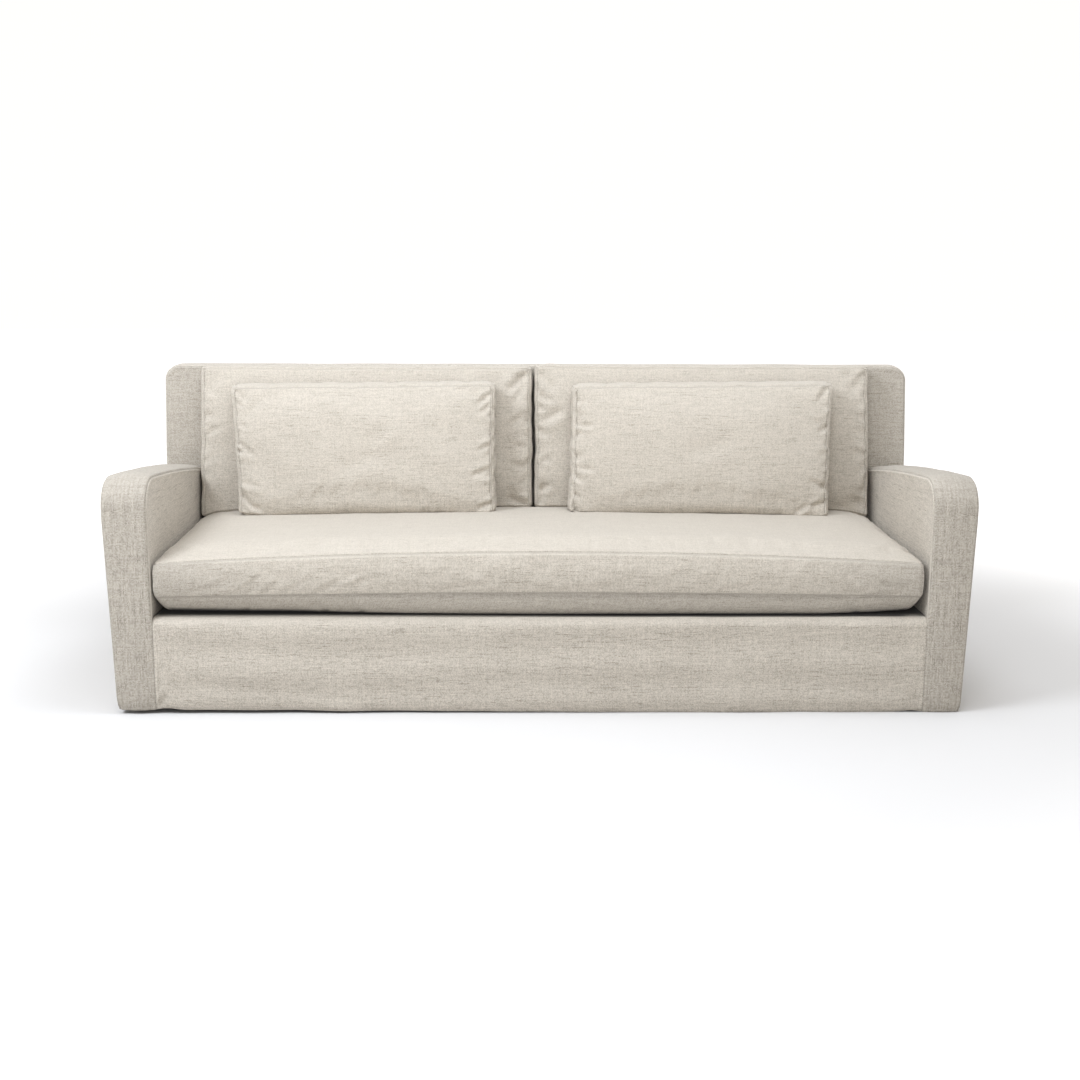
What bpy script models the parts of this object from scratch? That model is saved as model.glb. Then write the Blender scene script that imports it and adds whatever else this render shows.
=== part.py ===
"""A fitted linen slipcover for a three-seat sofa, with its five boxed cushions.

Metres, +Z up. The sitter faces -Y, X runs across the seat, and the origin is on the floor under the
middle of the cover. Every panel is a thin closed sheet whose edges stop just short of its seams,
and every cushion is one closed filled solid.
"""

import math

import bmesh
import bpy
import numpy as np

# Overall size
WIDTH = 2.200
DEPTH = 0.920
HALF = WIDTH / 2

# Cloth
CLOTH = 0.0025
EDGE = 0.0002  # each panel stops this far short of its seam
SLOPED_EDGE = 0.0005  # the same where a sloping panel meets an upright one
TOUCH = 0.0006  # between a cushion and what it lies on
HEM_TUCK = 0.006  # how far the hem turns in under the sofa
HEM_TUCK_HEIGHT = 0.035
HEM_ROWS = (0.0, 0.012, 0.035)  # heights above the hem of the rows that shape its tuck

# Height of the hem above the floor, across the cover: it hangs a little higher at one end
HEM_X = (-1.10, -0.60, 0.00, 0.40, 1.10)
HEM_Z = (0.011, 0.008, 0.003, 0.000, 0.000)

# Arms
ARM_INSIDE = 0.985  # from the middle of the sofa to an arm's inside face
ARM_CREST = 0.603
ARM_CORNER = 0.075  # radius of an arm's front corner, seen from the side
ARM_FALL = 0.07  # slope of the arm's top just behind that corner
ARM_DROOP = 0.075  # how the slope grows towards the back
STRIP_CROWN = 0.006
FRONT_CROWN = 0.004
SIDE_TAPER = 0.016  # how much nearer the middle the side's hem is than its top
TAPER_TOP = 0.50
REAR_NARROWING = 0.003
FRONT_Y = -DEPTH / 2 + FRONT_CROWN

# Deck and front apron
DECK = 0.251
APRON_ROLL = 0.022  # radius of the apron's soft top edge
APRON_RETURN = 0.085  # how far back the apron reaches on the deck
APRON_BULGE = 0.0024
APRON_FULLEST = 0.75  # of a half wave, from the hem to the deck

# Inside and outside arm panels
INNER_SWELL = 0.0005
SIDE_FADE = 0.1  # height over which the side's waves die out at its top and its hem

# Back
BACK_Y = 0.270  # inside back at the height BACK_Z
BACK_Z = 0.542
BACK_LEAN = 0.15
BACK_TOP = 0.826  # the inside back's top seam
BACK_HALF = HALF - REAR_NARROWING
BACK_CORNER = 0.040
BACK_CROWN = 0.007
CROWN_FADE = 0.06
REAR_SEAM = 0.460
REAR_FALL = 0.012  # how much lower the outside back's top seam is
REAR_LEAN = 0.015
REAR_BULGE = 0.003

# Seat cushion
SEAT_MIDDLE = -0.004
SEAT_HALF = 0.975
SEAT_FRONT = -0.444
SEAT_REAR_GAP = 0.008
SEAT_SEAM = 0.391
SEAT_LOW_SEAM = 0.304
SEAT_BOW = 0.030  # rise of the front top seam in its middle
SEAT_LOW_BOW = 0.011
SEAT_CROWN = 0.028
SEAT_BOW_FADE = 0.75  # share of that bow lost at the rear
SEAT_BULGES = (0.004, 0.004, 0.010, 0.003)  # of its boxing, at its two ends, front and rear
SEAT_LIFT = 0.0003  # above the deck

# Back cushions
CUSHION_SIDES = {"left": (-0.974, -0.031), "right": (0.000, 0.964)}  # X of the side seams
CUSHION_TOP = 0.825
CUSHION_FRONT = 0.160  # front seam at the height CUSHION_BASE
CUSHION_BASE = 0.427
CUSHION_LEAN = 0.20
CUSHION_CROWN = 0.024
CUSHION_PULL = 0.006  # how far the sides are drawn in between the corners, as a share
CUSHION_LIFT = 0.005  # of its bottom seams above the seat
CUSHION_ROUNDING = 0.006
CUSHION_BULGES = (0.009, 0.009, 0.004, 0.006)

# Lumbar cushions
LUMBAR_COLUMNS = ("low_middle", "low_half", "top_middle", "top_half", "top_left", "top_right")
LUMBARS = {
    "left": (-0.486, 0.357, -0.499, 0.371, 0.778, 0.787),
    "right": (0.457, 0.364, 0.472, 0.368, 0.781, 0.789),
}
LUMBAR_FRONT = 0.035
LUMBAR_LEAN = 0.277
LUMBAR_DEPTH = 0.072
LUMBAR_CROWN = 0.034
LUMBAR_REAR_CROWN = 0.020
LUMBAR_PULL = 0.012
LUMBAR_LIFT = 0.003
LUMBAR_GAP = 0.0015  # between a lumbar cushion and the back cushion behind it
LUMBAR_BULGES = (0.009, 0.009, 0.003, 0.006)

# Soft waves in the hanging panels: where each lies across the panel, its width and its depth
WAVE_COLUMNS = ("at", "width", "depth")
APRON_WAVES = (
    (-0.80, 0.22, 0.0020),
    (-0.38, 0.30, -0.0022),
    (0.10, 0.34, 0.0018),
    (0.52, 0.26, -0.0020),
    (0.83, 0.20, 0.0022),
)
REAR_WAVES = (
    (-0.74, 0.34, -0.0030),
    (-0.20, 0.42, 0.0025),
    (0.33, 0.36, -0.0028),
    (0.78, 0.30, 0.0024),
)
SIDE_WAVES = (
    (-0.20, 0.26, -0.0022),
    (0.16, 0.30, -0.0030),
)

# Colours, as linear red, green and blue
LINEN = (0.60, 0.55, 0.47)
LINEN_SHADE = (0.57, 0.52, 0.45)
LINEN_ROUGHNESS = 0.9


# ---------------------------------------------------------------- shared lines of the cover


def hem_height(x):
    return np.interp(x, HEM_X, HEM_Z)


def hem_tuck(rise):
    """How far the cloth is turned in at a height above the hem."""
    return HEM_TUCK * (1 - np.clip(rise / HEM_TUCK_HEIGHT, 0, 1)) ** 2


def waves(at, table):
    total = np.zeros_like(at)
    for row in table:
        wave = dict(zip(WAVE_COLUMNS, row))
        total = total + wave["depth"] * np.exp(-(((at - wave["at"]) / wave["width"] * 2) ** 2))
    return total


def crown(fraction):
    """0 at both edges of a strip and 1 along its middle."""
    return 1 - (2 * fraction - 1) ** 2


def puff(u, v, u_power, v_power):
    """0 along the edges of a filled panel and 1 in its middle; u and v run from -1 to 1."""
    return (1 - np.abs(u) ** u_power) * (1 - np.abs(v) ** v_power)


def side_x(y, z, hem):
    """Half width of the cover at its outer side."""
    lean = SIDE_TAPER * (1 - np.clip(z / TAPER_TOP, 0, 1))
    narrowing = REAR_NARROWING * np.clip((y + DEPTH / 2) / DEPTH, 0, 1)
    return HALF - lean - narrowing - hem_tuck(z - hem)


def back_y(z):
    return BACK_Y + (z - BACK_Z) * BACK_LEAN


def rear_y(z, hem):
    return REAR_SEAM - REAR_LEAN * (1 - z / BACK_TOP) - hem_tuck(z - hem)


def rear_fall(z):
    """How much lower the rear seam runs than the front seam at a height on the back's outline."""
    return REAR_FALL * np.clip((z - BACK_TOP + BACK_CORNER) / BACK_CORNER, 0, 1)


ARC_END = math.pi / 2 - math.atan(ARM_FALL)
ARC_Y = FRONT_Y + ARM_CORNER
ARC_Z = ARM_CREST - ARM_CORNER
TOP_START_Y = ARC_Y + ARM_CORNER * math.cos(ARC_END)
TOP_START_Z = ARC_Z + ARM_CORNER * math.sin(ARC_END)


def arm_top(y):
    """Height of the arm's top seams behind the front corner."""
    behind = y - TOP_START_Y
    return TOP_START_Z - ARM_FALL * behind - ARM_DROOP * behind**2


ARM_END_Y = back_y(arm_top(BACK_Y))
ARM_END_Z = arm_top(ARM_END_Y)


def arm_line(setback, end_y, arc_steps, top_steps):
    """The arm's seam line from the top of its straight front to the inside back, in Y and Z."""
    angles = np.linspace(math.pi, ARC_END, arc_steps)
    arc = np.stack(
        [
            ARC_Y + (ARM_CORNER - setback) * np.cos(angles),
            ARC_Z + (ARM_CORNER - setback) * np.sin(angles),
        ],
        axis=1,
    )
    along = np.linspace(TOP_START_Y, end_y, top_steps + 1)[1:]
    top = np.stack([along, arm_top(along) - setback], axis=1)
    return np.concatenate([arc, top])


def hem_rows(hem, top, shares):
    """Heights from the hem to the top: three rows for the tuck, then shares of the rest."""
    low = [hem + rise for rise in HEM_ROWS]
    return np.array(low + [low[-1] + (top - low[-1]) * share for share in shares])


def round_corners(x, z):
    """A grid's points near the back's two top corners, moved on to its round outline."""
    centre_x = BACK_HALF - BACK_CORNER
    centre_z = BACK_TOP - BACK_CORNER
    across = np.maximum(np.abs(x) - centre_x, 0)
    up = np.maximum(z - centre_z, 0)
    reach = np.maximum(np.hypot(across, up), 1e-9)
    shrink = np.where((across > 0) & (up > 0), np.maximum(across, up) / reach, 1.0)
    return np.sign(x) * (np.minimum(np.abs(x), centre_x) + across * shrink), np.where(
        up > 0, centre_z + up * shrink, z
    )


# ---------------------------------------------------------------- meshes


def linen(name, colour):
    material = bpy.data.materials.new(name)
    material.use_nodes = True
    shader = material.node_tree.nodes["Principled BSDF"]
    shader.inputs["Base Color"].default_value = (*colour, 1.0)
    shader.inputs["Roughness"].default_value = LINEN_ROUGHNESS
    shader.inputs["Metallic"].default_value = 0.0
    material.diffuse_color = (*colour, 1.0)
    return material


def add_object(name, points, faces, colour, parent):
    mesh = bpy.data.meshes.new(name)
    mesh.from_pydata([tuple(p) for p in points], [], faces)
    solid = bmesh.new()
    solid.from_mesh(mesh)
    bmesh.ops.recalc_face_normals(solid, faces=solid.faces)
    bmesh.ops.triangulate(solid, faces=solid.faces)
    solid.to_mesh(mesh)
    solid.free()
    mesh.shade_smooth()
    mesh.set_sharp_from_angle(angle=math.radians(40))
    mesh.materials.append(linen(name + "_linen", colour))
    made = bpy.data.objects.new(name, mesh)
    made.parent = parent
    bpy.context.scene.collection.objects.link(made)
    return made


def behind_cloth(grid, facing):
    """The hidden face of a sheet: the grid moved in by the cloth's thickness."""
    normal = np.cross(np.gradient(grid, axis=0), np.gradient(grid, axis=1))
    normal /= np.linalg.norm(normal, axis=2, keepdims=True)
    middle = normal[grid.shape[0] // 2, grid.shape[1] // 2]
    if np.dot(middle, facing) < 0:
        normal = -normal
    return grid - normal * CLOTH


def sheet(name, make_grid, facing, parent, keep=None):
    """A closed sheet of cloth. make_grid(0) gives its shown face, and make_grid(CLOTH) the same
    points with its seamed edges drawn in by the cloth's thickness, for a mitred seam."""
    shown = make_grid(0.0)
    hidden = behind_cloth(make_grid(CLOTH), facing)
    columns, rows = shown.shape[:2]
    size = columns * rows
    cells = {(i, j) for i in range(columns - 1) for j in range(rows - 1)}
    if keep is not None:
        cells = {cell for cell in cells if keep(*cell)}
    faces = []
    for i, j in sorted(cells):
        quad = [i * rows + j, (i + 1) * rows + j, (i + 1) * rows + j + 1, i * rows + j + 1]
        faces.append(quad)
        faces.append([size + k for k in reversed(quad)])
        neighbours = ((i, j - 1), (i + 1, j), (i, j + 1), (i - 1, j))
        for side, neighbour in enumerate(neighbours):
            if neighbour not in cells:
                a = quad[side]
                b = quad[(side + 1) % 4]
                faces.append([b, a, size + a, size + b])
    used = sorted({k for face in faces for k in face})
    place = {k: n for n, k in enumerate(used)}
    points = np.concatenate([shown.reshape(-1, 3), hidden.reshape(-1, 3)])[used]
    faces = [[place[k] for k in face] for face in faces]
    return add_object(name, points, faces, LINEN, parent)


def edge_loop(columns, rows):
    """The grid points round a panel's edge, in order."""
    loop = [(i, 0) for i in range(columns - 1)]
    loop += [(columns - 1, j) for j in range(rows - 1)]
    loop += [(i, rows - 1) for i in range(columns - 1, 0, -1)]
    loop += [(0, j) for j in range(rows - 1, 0, -1)]
    return loop


def cushion(name, shown, hidden, bulges, floor, parent, boxing_rows=3):
    """A filled boxed cushion between two panels. bulges gives the boxing's swell towards -u, +u,
    -v and +v, and floor(x, y) is the height that the cushion stays above."""
    columns, rows = shown.shape[:2]
    loop = edge_loop(columns, rows)
    u_way = shown[-1, rows // 2] - shown[0, rows // 2]
    v_way = shown[columns // 2, -1] - shown[columns // 2, 0]
    u_way = u_way / np.linalg.norm(u_way)
    v_way = v_way / np.linalg.norm(v_way)
    rings = []
    for k in range(1, boxing_rows):
        share = k / boxing_rows
        ring = []
        for i, j in loop:
            swell = np.zeros(3)
            if i in (0, columns - 1):
                swell += u_way * (-bulges[0] if i == 0 else bulges[1])
            if j in (0, rows - 1):
                swell += v_way * (-bulges[2] if j == 0 else bulges[3])
            point = shown[i, j] * (1 - share) + hidden[i, j] * share
            ring.append(point + swell * crown(share))
        rings.append(ring)
    points = np.concatenate([shown.reshape(-1, 3), hidden.reshape(-1, 3), np.reshape(rings, (-1, 3))])
    points[:, 2] = np.maximum(points[:, 2], floor(points[:, 0], points[:, 1]))
    size = columns * rows
    faces = []
    for i in range(columns - 1):
        for j in range(rows - 1):
            quad = [i * rows + j, (i + 1) * rows + j, (i + 1) * rows + j + 1, i * rows + j + 1]
            faces.append(quad)
            faces.append([size + k for k in reversed(quad)])
    circuits = [[i * rows + j for i, j in loop]]
    for k in range(boxing_rows - 1):
        start = 2 * size + k * len(loop)
        circuits.append([start + n for n in range(len(loop))])
    circuits.append([size + i * rows + j for i, j in loop])
    for upper, lower in zip(circuits, circuits[1:]):
        for n in range(len(loop)):
            after = (n + 1) % len(loop)
            faces.append([upper[after], upper[n], lower[n], lower[after]])
    return add_object(name, points, faces, LINEN_SHADE, parent)


# ---------------------------------------------------------------- the arms


STRIP_ACROSS = np.array([0.0, 0.2, 0.5, 0.8, 1.0])
FRONT_SHARES = (0.12, 0.3, 0.5, 0.7, 0.86)
ARC_STEPS = 8
TOP_STEPS = 6


def arm_strip(side, parent):
    """From the front hem up the arm's front, round its corner and back along its top."""
    sign = -1 if side == "left" else 1
    hem = float(hem_height(sign * HALF))

    def make_grid(inset):
        line = arm_line(0, ARM_END_Y - EDGE, ARC_STEPS, TOP_STEPS)
        heights = hem_rows(hem, ARC_Z, FRONT_SHARES)
        columns = []
        for share in STRIP_ACROSS:
            swell = crown(share)
            column = []
            for z in heights:
                y = FRONT_Y + hem_tuck(z - hem)
                outer = side_x(y, z, hem) - EDGE - inset
                x = ARM_INSIDE + EDGE + inset + (outer - ARM_INSIDE - EDGE - inset) * share
                column.append((sign * x, y - FRONT_CROWN * swell, z))
            for n, (y, z) in enumerate(line):
                outer = side_x(y, z, hem) - EDGE - inset
                x = ARM_INSIDE + EDGE + inset + (outer - ARM_INSIDE - EDGE - inset) * share
                turn = min(n / (ARC_STEPS - 1), 1.0) * math.pi / 2
                forward = FRONT_CROWN * swell * math.cos(turn)
                up = STRIP_CROWN * swell * math.sin(turn)
                column.append((sign * x, y - forward, z + up))
            columns.append(column)
        return np.array(columns)

    return sheet(f"arm_strip_{side}", make_grid, (0, -1, 1), parent)


INNER_SHARES = np.array([0.0, 0.2, 0.5, 0.8, 1.0])


def apron_height(y):
    """The apron's rolled top edge, then the level deck."""
    into = np.clip(y - FRONT_Y, 0, APRON_ROLL)
    return DECK - APRON_ROLL + math.sqrt(APRON_ROLL**2 - (APRON_ROLL - into) ** 2)


def arm_inner(side, parent):
    """Inside arm panel, from the strip's inner seam down to the deck."""
    sign = -1 if side == "left" else 1

    def make_grid(inset):
        line = arm_line(EDGE + inset, ARM_END_Y - EDGE, ARC_STEPS, TOP_STEPS)
        columns = []
        for n, (y, top) in enumerate(line):
            column = []
            for share in INNER_SHARES:
                low = apron_height(y) + EDGE
                z = low + (top - low) * share
                slid = max(n - ARC_STEPS + 1, 0) / TOP_STEPS
                lean = (back_y(z) - back_y(top)) * slid
                along = max(n - ARC_STEPS, 0) * (len(line) - 1 - n)
                swell = INNER_SWELL * math.sin(math.pi * share) * along
                column.append((sign * (ARM_INSIDE + swell), y + lean, z))
            columns.append(column)
        return np.array(columns)

    return sheet(f"arm_inner_{side}", make_grid, (-sign, 0, 0), parent)


OUTER_SHARES = (0.15, 0.4, 0.65, 0.85, 1.0)
REAR_STEPS = 3


def arm_outer(side, parent):
    """Outside arm panel, from the strip's outer seam and the back's corner down to the hem."""
    sign = -1 if side == "left" else 1
    hem = float(hem_height(sign * HALF))

    def make_grid(inset):
        line = arm_line(EDGE + inset, ARM_END_Y, ARC_STEPS, TOP_STEPS)
        columns = []
        for n, (y, top) in enumerate(line):
            into = min(n / (ARC_STEPS - 1), 1.0)
            column = []
            for z in hem_rows(hem, top, OUTER_SHARES):
                tucked = y + hem_tuck(z - hem) * (1 - into)
                column.append((tucked, z))
            columns.append(column)
        for step in range(1, REAR_STEPS + 1):
            share = step / REAR_STEPS
            column = []
            for z in hem_rows(hem, ARM_END_Z - EDGE, OUTER_SHARES):
                end = rear_y(z, hem) - EDGE - inset
                column.append((ARM_END_Y + (end - ARM_END_Y) * share, z))
            columns.append(column)
        grid = np.array(columns)
        y = grid[:, :, 0]
        z = grid[:, :, 1]
        fade = np.clip((z - hem) / SIDE_FADE, 0, 1) * np.clip((ARM_END_Z - z) / SIDE_FADE, 0, 1)
        x = side_x(y, z, hem) + waves(y, SIDE_WAVES) * fade
        return np.stack([sign * x, y, z], axis=2)

    return sheet(f"arm_outer_{side}", make_grid, (sign, 0, 0), parent)


# ---------------------------------------------------------------- apron and deck


APRON_COLUMNS = 25
APRON_SHARES = (0.25, 0.5, 0.75, 0.92)
ROLL_STEPS = 6


def front_apron(parent):
    """The panel under the seat cushion, its soft top edge rolled back on to the deck."""

    def make_grid(inset):
        columns = []
        reach = ARM_INSIDE - EDGE
        for x in np.linspace(-reach, reach, APRON_COLUMNS):
            hem = float(hem_height(x))
            fade = 1 - abs(x / reach) ** 8
            bulge = (APRON_BULGE + float(waves(x, APRON_WAVES))) * fade
            column = []
            for z in hem_rows(hem, DECK - APRON_ROLL, APRON_SHARES):
                swell = bulge * math.sin(math.pi * APRON_FULLEST * z / DECK)
                column.append((x, FRONT_Y + hem_tuck(z - hem) - swell, z))
            for angle in np.linspace(math.pi, math.pi / 2, ROLL_STEPS):
                y = FRONT_Y + APRON_ROLL + APRON_ROLL * math.cos(angle)
                z = DECK - APRON_ROLL + APRON_ROLL * math.sin(angle)
                swell = bulge * math.sin(math.pi * APRON_FULLEST * z / DECK) * max(-math.cos(angle), 0)
                column.append((x, y - swell, z))
            column.append((x, FRONT_Y + APRON_RETURN - EDGE, DECK))
            columns.append(column)
        return np.array(columns)

    return sheet("front_apron", make_grid, (0, -1, 0.2), parent)


def deck(parent):
    """The panel under the seat cushion, between the arms and the inside back."""

    def make_grid(inset):
        x = np.linspace(-ARM_INSIDE + EDGE, ARM_INSIDE - EDGE, 7)
        y = np.linspace(FRONT_Y + APRON_RETURN + EDGE, back_y(DECK) - EDGE, 4)
        grid_x, grid_y = np.meshgrid(x, y, indexing="ij")
        return np.stack([grid_x, grid_y, np.full_like(grid_x, DECK)], axis=2)

    return sheet("deck", make_grid, (0, 0, 1), parent)


# ---------------------------------------------------------------- the back


CORNER_STEPS = 3
MIDDLE_STEPS = 6
LOW_INNER_ROW = 0.39  # heights of the rows between the back's seams
HIGH_INNER_ROWS = (0.62, 0.71)
LOW_OUTER_ROWS = (0.17, 0.32)
HIGH_OUTER_ROW = 0.66


def back_columns(inner_column, reach):
    """Positions across the back: close together at its round corners."""
    corner = np.linspace(reach, BACK_HALF - BACK_CORNER, CORNER_STEPS + 1)
    middle = np.linspace(inner_column, 0, MIDDLE_STEPS + 1)
    half = np.concatenate([corner, middle])
    return np.concatenate([-half, half[-2::-1]])


def back_inner(parent):
    """Inside back: between the arms below, and the full width above them."""
    inner = ARM_INSIDE - EDGE

    def make_grid(inset):
        reach = BACK_HALF - EDGE - inset
        top = BACK_TOP - EDGE - inset
        across = back_columns(inner, reach)
        corner = np.linspace(BACK_TOP - BACK_CORNER, top, CORNER_STEPS + 1)
        low = [DECK + EDGE, LOW_INNER_ROW, ARM_END_Z + EDGE]
        heights = np.concatenate([low, HIGH_INNER_ROWS, corner])
        x, z = np.meshgrid(across, heights, indexing="ij")
        over_arm = np.clip((np.abs(x) - ARM_INSIDE) / (BACK_HALF - ARM_INSIDE), 0, 1)
        on_arm = np.abs(z - ARM_END_Z - EDGE) < 1e-9
        z = z + np.where(on_arm, STRIP_CROWN * crown(over_arm), 0)
        x, z = round_corners(x, z)
        return np.stack([x, back_y(z), z], axis=2)

    def keep(i, j):
        last = 2 * (CORNER_STEPS + MIDDLE_STEPS + 1)
        over_arm = i <= CORNER_STEPS or i >= last - CORNER_STEPS - 1
        return j >= 2 or not over_arm

    return sheet("back_inner", make_grid, (0, -1, 0), parent, keep)


def back_strip(parent):
    """Boxing strip up one side of the back, over its top and down the other side."""
    centre_x = BACK_HALF - BACK_CORNER
    centre_z = BACK_TOP - BACK_CORNER
    path = []
    for z in np.linspace(ARM_END_Z + EDGE, centre_z, 5)[:-1]:
        path.append((-BACK_HALF, z, math.pi))
    rising = [math.atan(k / CORNER_STEPS) for k in range(CORNER_STEPS + 1)]
    falling = [math.pi / 2 - turn for turn in rising[-2::-1]]
    for turn in rising + falling:
        x = -centre_x - BACK_CORNER * math.cos(turn)
        path.append((x, centre_z + BACK_CORNER * math.sin(turn), math.pi - turn))
    for x in np.linspace(-centre_x, 0, 7)[1:-1]:
        path.append((x, BACK_TOP, math.pi / 2))
    other_side = [(-x, z, math.pi - angle) for x, z, angle in reversed(path)]
    path = path + [(0.0, BACK_TOP, math.pi / 2)] + other_side

    def make_grid(inset):
        columns = []
        for x, z, angle in path:
            front = back_y(z) + EDGE + inset
            rear = rear_y(z, 0) - SLOPED_EDGE - inset
            lift = BACK_CROWN * min((z - ARM_END_Z - EDGE) / CROWN_FADE, 1.0)
            column = []
            for share in STRIP_ACROSS:
                swell = lift * crown(share)
                y = front + (rear - front) * share
                fallen = z - float(rear_fall(z)) * share
                column.append((x + swell * math.cos(angle), y, fallen + swell * math.sin(angle)))
            columns.append(column)
        return np.array(columns)

    return sheet("back_strip", make_grid, (0, 0, 1), parent)


def back_outer(parent):
    """Outside back, from the top seam down to the hem."""

    def make_grid(inset):
        reach = BACK_HALF - EDGE - inset
        top = BACK_TOP - EDGE - inset
        across = back_columns(ARM_INSIDE, reach)
        corner = np.linspace(BACK_TOP - BACK_CORNER, top, CORNER_STEPS + 1)
        columns = []
        for x in across:
            hem = float(hem_height(x))
            low = [hem + rise for rise in HEM_ROWS]
            column = []
            for z in [*low, *LOW_OUTER_ROWS, ARM_END_Z, HIGH_OUTER_ROW, *corner]:
                side = side_x(REAR_SEAM, z, hem) / BACK_HALF
                column.append((x * side, z))
            columns.append(column)
        grid = np.array(columns)
        x, z = round_corners(grid[:, :, 0], grid[:, :, 1])
        hem = hem_height(x)
        across_fade = 1 - np.clip(np.abs(x) / BACK_HALF, 0, 1) ** 6
        up_fade = np.sin(math.pi * np.clip(z / BACK_TOP, 0, 1))
        swell = (REAR_BULGE + waves(x, REAR_WAVES)) * across_fade * up_fade
        return np.stack([x, rear_y(z, hem) + swell, z - rear_fall(z)], axis=2)

    return sheet("back_outer", make_grid, (0, 1, 0), parent)


# ---------------------------------------------------------------- cushions


EDGE_CROWDING = math.pi / 2 * 0.9  # how much closer together a panel's points lie at its edges


def panel_grid(columns, rows):
    """u and v of a filled panel, from -1 to 1."""
    u = np.sin(np.linspace(-EDGE_CROWDING, EDGE_CROWDING, columns)) / math.sin(EDGE_CROWDING)
    v = np.sin(np.linspace(-EDGE_CROWDING, EDGE_CROWDING, rows)) / math.sin(EDGE_CROWDING)
    return np.meshgrid(u, v, indexing="ij")


def seat_top(x, y):
    """Height of the seat cushion's top."""
    rear = back_y(SEAT_SEAM) - SEAT_REAR_GAP
    u = np.clip((x - SEAT_MIDDLE) / SEAT_HALF, -1, 1)
    v = np.clip((y - SEAT_FRONT) / (rear - SEAT_FRONT) * 2 - 1, -1, 1)
    bow = SEAT_BOW * (1 - u**2) * (1 - SEAT_BOW_FADE * (v + 1) / 2)
    return SEAT_SEAM + bow + SEAT_CROWN * puff(u, v, 14, 8)


def no_floor(x, y):
    return np.full_like(x, -1.0)


def seat_floor(x, y):
    return seat_top(x, y) + TOUCH


def seat_cushion(parent):
    """One long boxed cushion: crowned top, bowed front seam, flat where it lies on the deck."""
    u, v = panel_grid(29, 13)
    x = SEAT_MIDDLE + u * SEAT_HALF

    def depth_at(seam):
        rear = back_y(seam) - SEAT_REAR_GAP
        return SEAT_FRONT + (rear - SEAT_FRONT) * (v + 1) / 2

    top_y = depth_at(SEAT_SEAM)
    top = np.stack([x, top_y, seat_top(x, top_y)], axis=2)
    low_seam = SEAT_LOW_SEAM + SEAT_LOW_BOW * (1 - u**2)
    low_z = low_seam - (low_seam - DECK - SEAT_LIFT) * puff(u, v, 16, 24)
    bottom = np.stack([x, depth_at(SEAT_LOW_SEAM), low_z], axis=2)
    return cushion("seat_cushion", top, bottom, SEAT_BULGES, no_floor, parent)


def drawn_in(u, v, pull):
    """u with the sides pulled in between the corners."""
    return u * (1 - pull * (1 - v**2) * np.abs(u) ** 3)


def cushion_front(x, z, side):
    """Y of a back cushion's crowned front."""
    low, high = CUSHION_SIDES[side]
    u = np.clip((x - low) / (high - low) * 2 - 1, -1, 1)
    v = np.clip((z - CUSHION_BASE) / (CUSHION_TOP - CUSHION_BASE) * 2 - 1, -1, 1)
    return CUSHION_FRONT + (z - CUSHION_BASE) * CUSHION_LEAN - CUSHION_CROWN * puff(u, v, 4, 4)


def back_cushion(side, parent):
    u, v = panel_grid(19, 11)
    low, high = CUSHION_SIDES[side]
    x = (low + high) / 2 + (high - low) / 2 * drawn_in(u, v, CUSHION_PULL)

    def heights(front):
        low = seat_top(x, np.full_like(x, front)) + CUSHION_LIFT
        return low + (CUSHION_TOP - low) * (v + 1) / 2

    z = heights(CUSHION_FRONT)
    front = np.stack([x, cushion_front(x, z, side), z], axis=2)
    z = heights(back_y(CUSHION_BASE))
    rounding = CUSHION_ROUNDING * (1 - puff(u, v, 8, 6))
    rear = np.stack([x, back_y(z) - TOUCH - rounding, z], axis=2)
    return cushion(f"back_cushion_{side}", front, rear, CUSHION_BULGES, seat_floor, parent)


def lumbar(side, parent):
    u, v = panel_grid(17, 9)
    size = dict(zip(LUMBAR_COLUMNS, LUMBARS[side]))
    rise = (v + 1) / 2
    middle = size["low_middle"] + (size["top_middle"] - size["low_middle"]) * rise
    half = size["low_half"] + (size["top_half"] - size["low_half"]) * rise
    x = middle + half * drawn_in(u, v, LUMBAR_PULL)
    low = seat_top(x, np.full_like(x, LUMBAR_FRONT)) + LUMBAR_LIFT
    top = size["top_left"] + (size["top_right"] - size["top_left"]) * (u + 1) / 2
    z = low + (top - low) * rise
    seam_y = LUMBAR_FRONT + (z - CUSHION_BASE) * LUMBAR_LEAN
    front = np.stack([x, seam_y - LUMBAR_CROWN * puff(u, v, 3, 3), z], axis=2)
    against = cushion_front(x, z, side) - LUMBAR_GAP
    filled = seam_y + LUMBAR_DEPTH + LUMBAR_REAR_CROWN * puff(u, v, 3, 3)
    rear = np.stack([x, np.minimum(filled, against), z], axis=2)
    return cushion(f"lumbar_{side}", front, rear, LUMBAR_BULGES, seat_floor, parent)


def main():
    for thing in list(bpy.data.objects):
        bpy.data.objects.remove(thing, do_unlink=True)
    root = bpy.data.objects.new("slipcover", None)
    bpy.context.scene.collection.objects.link(root)
    for side in ("left", "right"):
        arm_strip(side, root)
        arm_inner(side, root)
        arm_outer(side, root)
        back_cushion(side, root)
        lumbar(side, root)
    front_apron(root)
    deck(root)
    back_inner(root)
    back_strip(root)
    back_outer(root)
    seat_cushion(root)


main()
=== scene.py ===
"""The looks of a linen sofa slipcover: every panel as fine, seamed cloth, and five filled cushions.

Metres, +Z up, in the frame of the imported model. The sitter faces -Y. Each panel is a thin closed
sheet on a grid that is closer together at its seams; each cushion is one closed skin of two panels
and their boxing, blown up by a cloth simulation.
"""

import math

import bpy
import numpy as np
from mathutils import Matrix


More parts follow.
